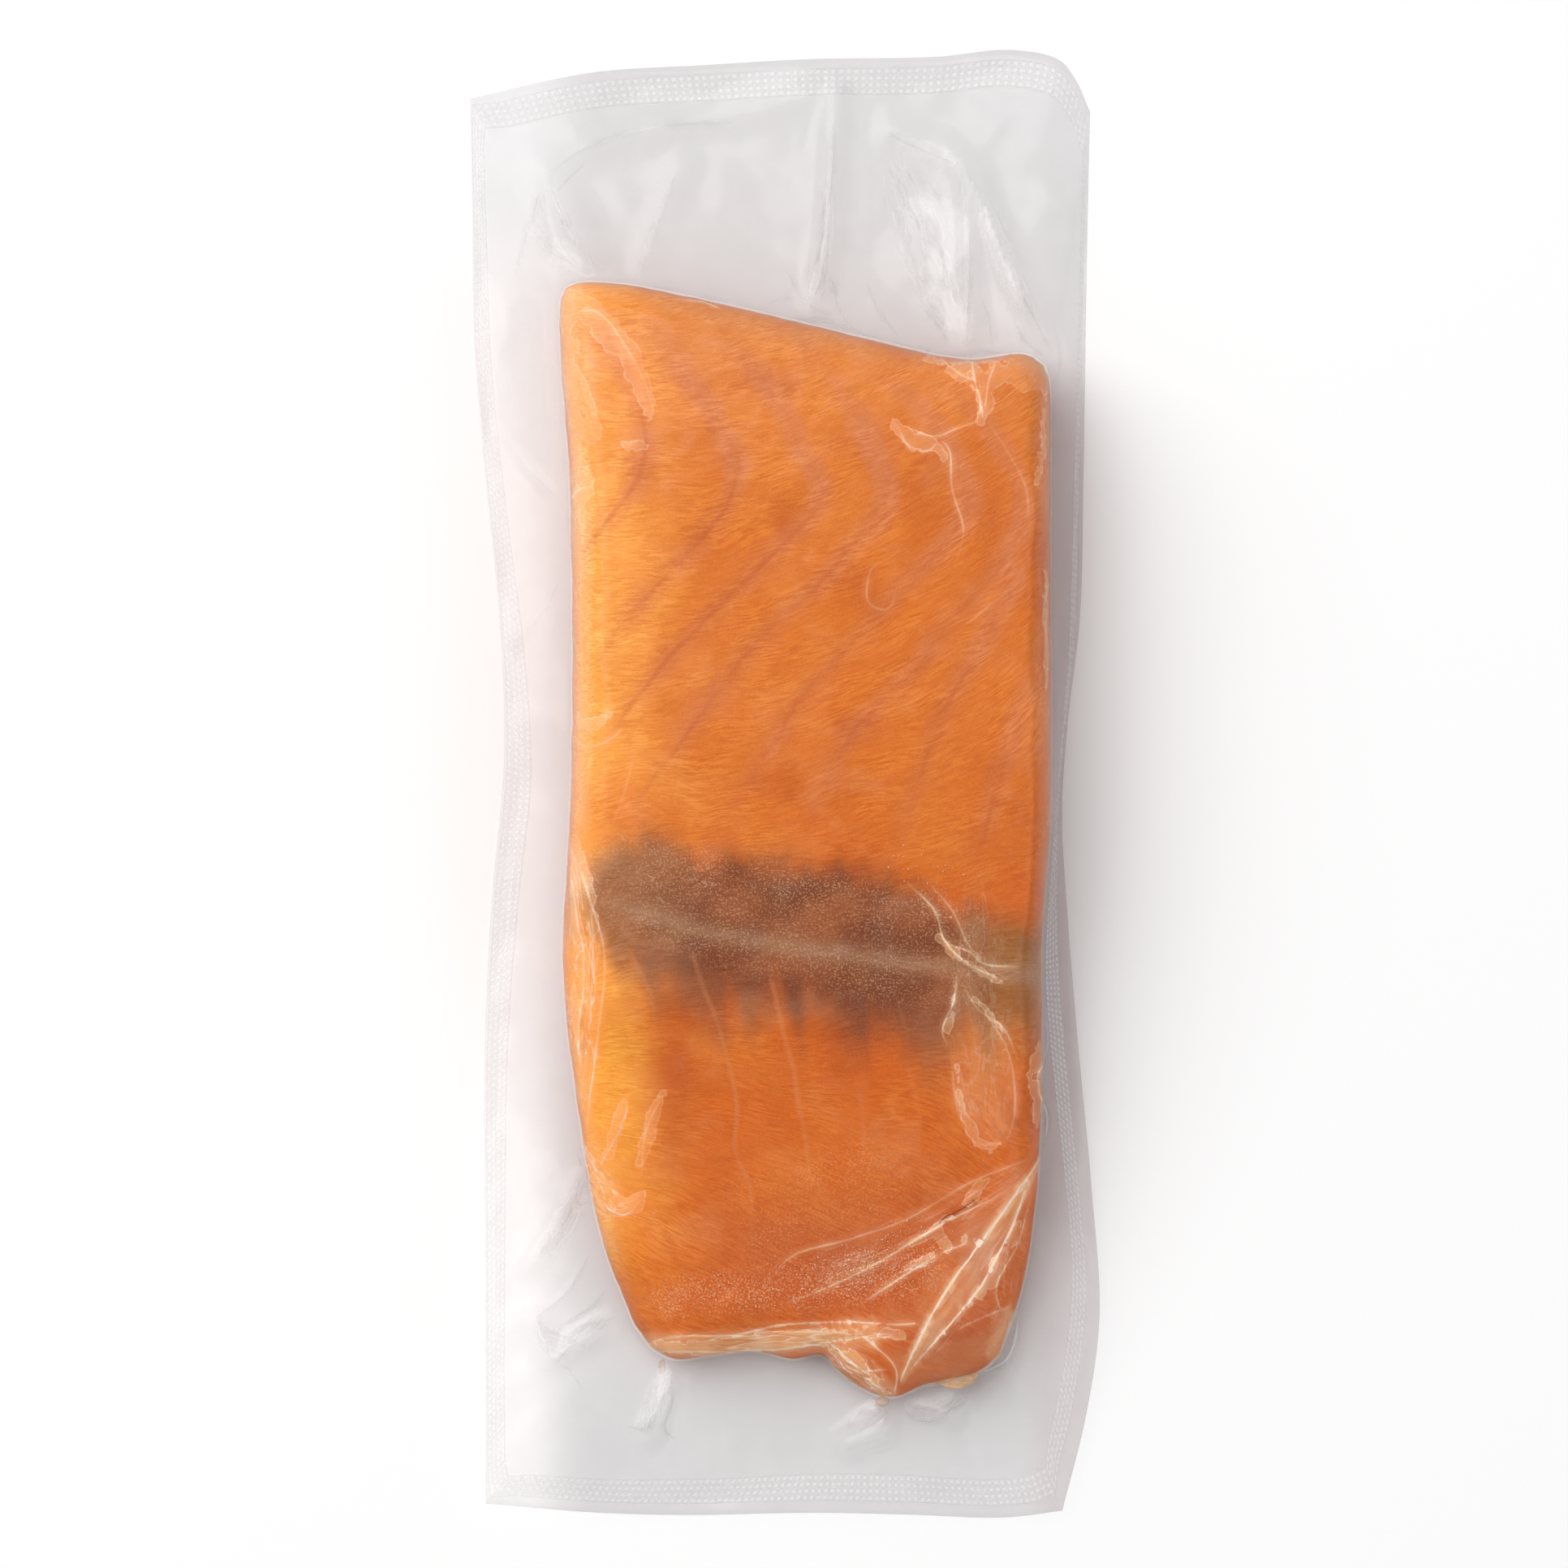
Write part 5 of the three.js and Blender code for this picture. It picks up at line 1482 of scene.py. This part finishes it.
    def build(self) -> bpy.types.Object:
        """Makes the pouch as one closed mesh with its creases, pockets and veil.

        Returns:
            The piece.
        """
        form, shell = self.form, Shell()
        pouch = form.outline(form.pouch_edge, self.along, self.across)
        fish = form.outline(form.fish_edge, self.along, self.across)
        half = self.half
        rim = shell.add(form.apron_ring(fish, pouch, 1.0, half))
        apron = (form.apron_ring(fish, pouch, share, half) for share in falling(self.apron_steps))
        ring = shell.climb(rim, apron)
        apron_end = shell.count
        shoulder = (form.shoulder_ring(fish, turn, half) for turn in rising(self.shoulder_steps))
        form.fill_grid(shell, shell.climb(ring, shoulder), self.along, self.across, True)
        upper_end = shell.count
        ring = shell.add(form.apron_ring(fish, pouch, 1.0, -half))
        shell.bridge(ring, rim)
        lower = (form.apron_ring(fish, pouch, share, -half) for share in falling(self.lower_steps))
        ring = shell.climb(ring, lower, False)
        lower_end = shell.count
        undercut = (form.undercut_ring(fish, turn, half) for turn in rising(self.undercut_steps))
        ring = shell.climb(ring, undercut, False)
        points, quads = shell.all_points(), shell.all_quads()
        normals = point_normals(points, quads)
        number = np.arange(len(points))
        zones = {
            "apron": number < apron_end,
            "fish": (number >= apron_end) & (number < upper_end),
            "lower": (number >= upper_end) & (number < lower_end),
            "under": number >= upper_end,
        }
        lift, layers = self.dress(points, normals, zones)
        faces = quads.tolist() + [ring[::-1].tolist()]
        raised = points + normals * lift[:, None]
        piece = mesh_piece("pouch_film", raised, faces, self.finish.material())
        for name, values in layers.items():
            give(piece, name, values)
        piece.visible_shadow = False
        return piece

    def dress(self, points: Points, normals: Points, zones: dict[str, Points]) -> tuple[Points, dict]:
        """Works out the film's fine relief and what its finish reads.

        Args:
            points: The film's plain form.
            normals: Its outward directions.
            zones: Which points lie on the upper apron, on the fish and on the lower apron.

        Returns:
            How far each point stands out, and the values of each layer.
        """
        x, y = points[:, 0], points[:, 1]
        apron, fish = zones["apron"], zones["fish"]
        wall = smooth(0.45, 0.1, normals[:, 2])
        height = points[:, 2] / self.form.crown(x, y)
        level = np.where(fish, smooth(0.06, 0.3, normals[:, 2]) * smooth(0.4, 0.6, height), 1.0)
        depth = deepest(self.pockets, x, y)
        for trail in self.contacts:
            depth = np.minimum(depth, -trail.depth(x, y))
        depth += 0.22 * value_noise(x, y, 2.3, 81) + 0.1 * value_noise(x, y, 1.1, 86)
        depth = np.where(fish, (depth + 2.0) * level - 2.0, -2.0)
        creases = list(self.fish_creases) + list(self.apron_creases)
        lift, place, gleam, strongest = CreaseField(creases).layers(x, y)
        level[zones["under"]] = 0.0
        lift, gleam, strongest = lift * level, gleam * level[:, None], strongest * level
        puckers = 0.5 + 0.5 * value_noise(x, y, 1.8, 82)
        lift += self.pocket_height * smooth(0.0, 0.7, depth) * (0.8 + 0.4 * puckers)
        # Painted highlight on the apron's folds: it thickens the veil and whitens the film's colour.
        painted_highlight = deepest(self.painted_highlight_trails, x, y) + 0.35 * value_noise(x, y, 2.2, 83)
        painted_highlight = np.where(apron, smooth(-0.2, 0.6, painted_highlight), 0.0)
        haze = np.zeros(len(points))
        for trail, strength, edge in self.hazes:
            near = smooth(-edge, edge, trail.depth(x, y) + 0.4 * edge * value_noise(x, y, 3.0, 87))
            haze = np.maximum(haze, strength * near)
        mottled = smooth(0.1, 0.9, value_noise(x, y, 4.6, 89) + 0.5 * value_noise(x, y, 1.6, 90))
        veil = np.where(fish, 0.02 + haze * level + 0.05 * mottled + 0.3 * wall, 0.13)
        # On the apron the veil is partly the film's own grey and partly painted shade, standing in for
        # the shadow on the floor that the film doesn't throw.
        grey = 0.02 * smooth(48.0, 60.0, y) + 0.03 * smooth(-66.0, -84.0, y)
        # Painted highlight: the veil is thinned on the apron's left, most of all at its upper left, where
        # light falls on it.
        clear = 0.14 * smooth(-22.0, -31.0, x) * smooth(20.0, 38.0, y)
        clear += 0.09 * smooth(-26.0, -32.0, x)
        uneven = 0.02 * value_noise(x, y, 14.0, 84)
        veil = np.where(apron, 0.35 + grey - clear + uneven + 0.1 * painted_highlight, veil)
        veil = np.where(zones["lower"], 0.1, veil)
        frosting = np.where(fish, (0.12 + self.frosted(x, y)) * level, 0.0)
        fold_place, fold_strength = gathered(self.crumples, x, y)
        fold_strength *= level
        on_fish = np.where(fish, 1.0 - wall, 0.0)
        layers = {
            "fold_place": fold_place, "fold_strength": fold_strength,
            "pocket": depth, "veil": veil, "film_tint": self.tint(x, y, on_fish, painted_highlight),
            "crease_strength": strongest, "frosting": np.clip(frosting, 0.0, 1.0),
        }
        for number in range(CREASE_VECTORS):
            layers[f"crease_place_{number}"] = place[:, 3 * number : 3 * number + 3]
            layers[f"crease_gleam_{number}"] = gleam[:, 3 * number : 3 * number + 3]
        return lift, layers

    def frosted(self, x: Points, y: Points) -> Points:
        """Gives where fine droplets lie between film and fish."""
        near = np.zeros(x.shape)
        for trail, strength in self.frost_fields:
            near = np.maximum(near, strength * smooth(-2.0, 2.0, trail.depth(x, y)))
        return near * (0.75 + 0.35 * value_noise(x, y, 2.4, 88))

    def tint(self, x: Points, y: Points, fish: Points, painted_highlight: Points) -> Points:
        """Gives the film's colour at each point, with a painted shadow right of the fish and painted
        highlights on the left and on the folds.
        """
        # Painted highlight: paler film on the apron's left, where light falls. Painted shadow: darker
        # mauve grey film right of the fish, where its shadow falls.
        left = smooth(-24.0, -32.0, x) * smooth(72.0, 60.0, y)
        right = smooth(29.0, 33.0, x) * smooth(56.0, 44.0, y)
        # The plain grey is partly the film's own tint and partly painted shade for the shadow that the
        # film doesn't throw.
        plain = mix(linear(165, 161, 162), linear(220, 214, 213), left)
        plain = mix(plain, linear(150, 130, 132), right)
        # Painted highlight: the film is whitened on the apron's folds.
        plain = mix(plain, linear(204, 201, 202), painted_highlight)
        patchy = smooth(-0.6, 0.6, value_noise(x, y, 3.0, 85))
        flesh = mix(linear(248, 190, 130), linear(253, 214, 164), patchy)
        fold = np.exp(-(((x - 9.0) / 6.0) ** 2 + ((y + 71.0) / 5.0) ** 2))
        flesh = mix(flesh, linear(248, 198, 140), fold)
        return coloured(mix(plain, flesh, 0.35 * (fish > 0.0) + 0.65 * fish))


@dataclass
class Weld:
    """The band of small pressed cells that seals the two films all round."""

    form: PackForm
    finish: WeldFinish = WeldFinish()
    pitch: float = 0.85
    cells_across: int = 4
    steps_in_cell: int = 3
    press: float = 0.02
    skin: float = 0.22
    pouch_size: Place = (173.0, 72.0)
    margin: dict[Side, float] = field(
        default_factory=lambda: {Side.LEFT: 0.35, Side.BOTTOM: 1.5, Side.RIGHT: 3.0, Side.TOP: 1.2}
    )

    def build(self) -> bpy.types.Object:
        """Makes the band as one closed strip, with real cells on its upper face.

        Returns:
            The piece.
        """
        form = self.form
        step = self.pitch / self.steps_in_cell
        along, across = (self.steps_in_cell * round(length / self.pitch) for length in self.pouch_size)
        pouch = form.outline(form.pouch_edge, along, across)
        fish = form.outline(form.fish_edge, along, across)
        margin = self.margins(pouch, along, across)
        run = np.linalg.norm(pouch - fish, axis=1)
        count = self.cells_across * self.steps_in_cell
        rings = [np.clip(1.0 - (margin + k * step) / run, 0.02, 1.0) for k in range(count + 1)]
        lengthways = np.sin(np.pi * np.arange(len(pouch)) / self.steps_in_cell)
        shell, pressed = Shell(), []
        for face in (1.0, -1.0):
            numbers = []
            for k, share in enumerate(rings):
                cell = np.abs(lengthways * np.sin(np.pi * k / self.steps_in_cell))
                cell = cell if face > 0 else np.full(len(pouch), 0.2)
                lift = face * (self.skin + self.press * cell)
                numbers.append(shell.add(form.apron_ring(fish, pouch, share, lift)))
                pressed.append(np.clip(cell / 0.75, 0.0, 1.0))
            for outer, inner in zip(numbers[:-1], numbers[1:]):
                shell.bridge(*((outer, inner) if face > 0 else (inner, outer)))
            if face > 0:
                upper = numbers
        shell.bridge(numbers[0], upper[0])
        shell.bridge(upper[-1], numbers[-1])
        points, faces = shell.all_points(), shell.all_quads().tolist()
        piece = mesh_piece("weld_band", points, faces, self.finish.material())
        give(piece, "pressed", np.concatenate(pressed))
        piece.visible_shadow = False
        return piece

    def margins(self, pouch: Points, along: int, across: int) -> Points:
        """Gives the plain margin outside the band, changing gently round the corners."""
        steps = {Side.LEFT: along, Side.BOTTOM: across, Side.RIGHT: along, Side.TOP: across}
        plain = np.concatenate([np.full(steps[side], self.margin[side]) for side in Side])
        width = 2 * round(5.0 / self.pitch * self.steps_in_cell / 2) + 1
        ends = width // 2
        padded = np.concatenate([plain[-ends:], plain, plain[:ends]])
        return np.convolve(padded, np.ones(width) / width, "valid")


@dataclass
class Frost:
    """Small pale specks and bubbles between film and fish near the belly end."""

    form: PackForm
    finish: FrostFinish = FrostFinish()
    count: int = 2300
    trails: Sequence[tuple[AirTrail, float]] = (
        (AirTrail([(-13.0, -62.6, 2.4), (-5.0, -61.6, 3.0), (4.0, -60.6, 3.4),
                   (10.0, -59.6, 3.6)]), 0.5),
        (AirTrail([(6.0, -59.6, 2.6), (13.0, -57.6, 3.8), (19.0, -54.6, 3.4)]), 0.44),
        (AirTrail([(14.0, -9.0, 4.0), (24.0, -15.0, 4.0)]), 0.06),
    )

    def build(self) -> bpy.types.Object:
        """Makes the specks as one mesh, from one bubble that is modelled once.

        Returns:
            The piece.
        """
        shape, faces = ball(1)
        draw = np.random.default_rng(7)
        points, triangles = [], []
        for trail, share in self.trails:
            stations = np.array(trail.trail, float)
            for _ in range(int(self.count * share)):
                along = draw.uniform(0, len(stations) - 1)
                at = [np.interp(along, np.arange(len(stations)), stations[:, k]) for k in range(3)]
                x, y = at[0] + draw.normal(0, 0.45 * at[2]), at[1] + draw.normal(0, 0.45 * at[2])
                radius = 0.025 + 0.08 * draw.random() ** 4
                height = self.form.crown(np.array([x]), np.array([y]))[0] - 0.06
                size = np.array([draw.uniform(0.8, 1.6), draw.uniform(0.7, 1.1), 0.45]) * radius
                triangles.append(faces + len(points) * len(shape))
                points.append(shape * size + (x, y, height))
        faces = np.vstack(triangles).tolist()
        return mesh_piece("frost_specks", np.vstack(points), faces, self.finish.material())


@dataclass
class Scrap:
    """A small pale scrap of flesh under the film at the folded corner."""

    finish: PaleFleshFinish = PaleFleshFinish()
    centre: tuple[float, float, float] = (20.9, -73.3, 4.0)
    size: tuple[float, float, float] = (2.7, 1.1, 0.8)
    bend: float = 0.06

    def build(self) -> bpy.types.Object:
        """Makes the scrap from a ball, drawn out and roughened.

        Returns:
            The piece.
        """
        plain, faces = ball(5)
        x, y, z = plain.T
        rough = 1.0 + 0.22 * value_noise(x + 3, y + z, 0.6, 91) + 0.1 * value_noise(x, y - z, 0.2, 92)
        shaped = plain * rough[:, None] * self.size
        shaped[:, 1] += self.bend * shaped[:, 0] ** 2
        return mesh_piece("flesh_scrap", shaped + self.centre, faces.tolist(), self.finish.material())


@dataclass
class Juice:
    """Drops of juice drawn flat between the films by the folded corner."""

    finish: JuiceFinish = JuiceFinish()
    drops: Sequence[tuple[tuple[float, float, float], tuple[float, float, float]]] = (
        ((9.4, -73.0, 2.9), (1.7, 0.7, 0.3)),
        ((12.2, -75.9, 3.0), (0.9, 0.6, 0.3)),
        ((-15.0, -71.6, 2.4), (0.5, 0.9, 0.25)),
    )

    def build(self) -> bpy.types.Object:
        """Makes the drops as one mesh, from balls that are drawn out.

        Returns:
            The piece.
        """
        plain, triangles = ball(4)
        points, faces = [], []
        for number, (at, size) in enumerate(self.drops):
            wavy = 1.0 + 0.25 * value_noise(plain[:, 0] + at[0], plain[:, 1] + at[1], 0.7, 95)
            points.append(plain * wavy[:, None] * size + at)
            faces.append(triangles + number * len(plain))
        joined = np.vstack(faces).tolist()
        return mesh_piece("juice_drops", np.vstack(points), joined, self.finish.material())


@dataclass
class Studio:
    """The pale floor, the soft lights and the camera that looks straight down."""

    view_width: float = 0.1932
    camera_height: float = 1.2
    view_centre: tuple[float, float] = (-0.00015, 0.0)
    sensor: float = 36.0
    floor_size: float = 6.0
    floor_greys: Sequence[tuple[float, ...]] = ((0.94, 0.94, 0.94, 1.0), (0.96, 0.96, 0.96, 1.0))
    softboxes: Sequence[tuple[str, tuple[float, float, float], float, float]] = (
        ("key_softbox", (-0.75, 0.65, 1.15), 1.5, 22.3),
        ("fill_softbox", (0.9, -0.4, 1.1), 1.0, 5.0),
    )
    sky: float = 0.35

    def build(self) -> None:
        """Sets up everything that isn't part of the object."""
        bpy.ops.object.select_all(action="DESELECT")
        bpy.ops.mesh.primitive_plane_add(size=self.floor_size, location=(0, 0, -0.0002))
        floor = bpy.context.active_object
        floor.name = "floor"
        board = Board("pale_floor")
        place = board.node("ShaderNodeTexCoord").outputs["Object"]
        cloud = board.noise(place, 3.0, 2.0, 0.5)
        board.drive("Base Color", board.blend(cloud, *self.floor_greys))
        board.set(Roughness=0.9, Specular_IOR_Level=0.0)
        floor.data.materials.append(board.material)
        for name, place, size, power in self.softboxes:
            self.light(name, place, size, power)
        world = bpy.data.worlds.new("studio")
        world.use_nodes = True
        world.node_tree.nodes["Background"].inputs["Color"].default_value = (1, 1, 1, 1)
        world.node_tree.nodes["Background"].inputs["Strength"].default_value = self.sky
        bpy.context.scene.world = world
        bpy.context.scene.view_settings.view_transform = "Standard"
        self.camera()

    def light(self, name: str, at: tuple[float, float, float], size: float, power: float) -> None:
        """Adds a square softbox that faces the pack."""
        data = bpy.data.lights.new(name, "AREA")
        data.shape, data.size, data.energy = "SQUARE", size, power
        lamp = bpy.data.objects.new(name, data)
        lamp.location = at
        x, y, z = at
        lamp.rotation_euler = (math.atan2(math.hypot(x, y), z), 0.0, math.atan2(x, -y))
        bpy.context.scene.collection.objects.link(lamp)

    def camera(self) -> None:
        """Adds the camera and makes it the scene's own."""
        data = bpy.data.cameras.new("camera")
        data.sensor_width = self.sensor
        data.lens = self.sensor * self.camera_height / self.view_width
        eye = bpy.data.objects.new("camera", data)
        eye.location = (*self.view_centre, self.camera_height)
        bpy.context.scene.collection.objects.link(eye)
        bpy.context.scene.camera = eye


def centre_on_cad(pieces: Sequence[bpy.types.Object], form: PackForm) -> None:
    """Moves the pieces' points so that the pouch's outline lies on the middle of the CAD box.

    Args:
        pieces: The pieces, which share the form's own origin.
        form: The form whose outline is centred.
    """
    low, high = (np.array(corner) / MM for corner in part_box(NODE))
    edge = form.outline(form.pouch_edge, ALONG, ACROSS)[:, :2]
    x, y = (low[:2] + high[:2] - edge.min(axis=0) - edge.max(axis=0)) / 2
    for piece in pieces:
        piece.data.transform(Matrix.Translation((x * MM, y * MM, 0.0)))


def claim(piece: bpy.types.Object, slot: Slot) -> None:
    """Makes a piece ride with the pack and stand for its solid, and notes its size."""
    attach(piece, "root")
    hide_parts(NODE)
    LOG.info("%s: %d faces", piece.name, len(piece.data.polygons))


def main() -> None:
    """Builds each piece in order and notes the sizes."""
    logging.basicConfig(level=logging.INFO, format="%(message)s")
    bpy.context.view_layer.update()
    form = PackForm()
    builders: Sequence[tuple[Callable[[], bpy.types.Object], Slot]] = (
        (Fish(form).build, Slot.FLESH),
        (Pouch(form).build, Slot.FILM),
        (Weld(form).build, Slot.WELD),
        (Frost(form).build, Slot.FROST),
        (Scrap().build, Slot.SCRAP),
        (Juice().build, Slot.JUICE),
    )
    made = [(build(), slot) for build, slot in builders]
    centre_on_cad([piece for piece, _ in made], form)
    for piece, slot in made:
        claim(piece, slot)
    Studio().build()


if __name__ == "__main__":
    main()
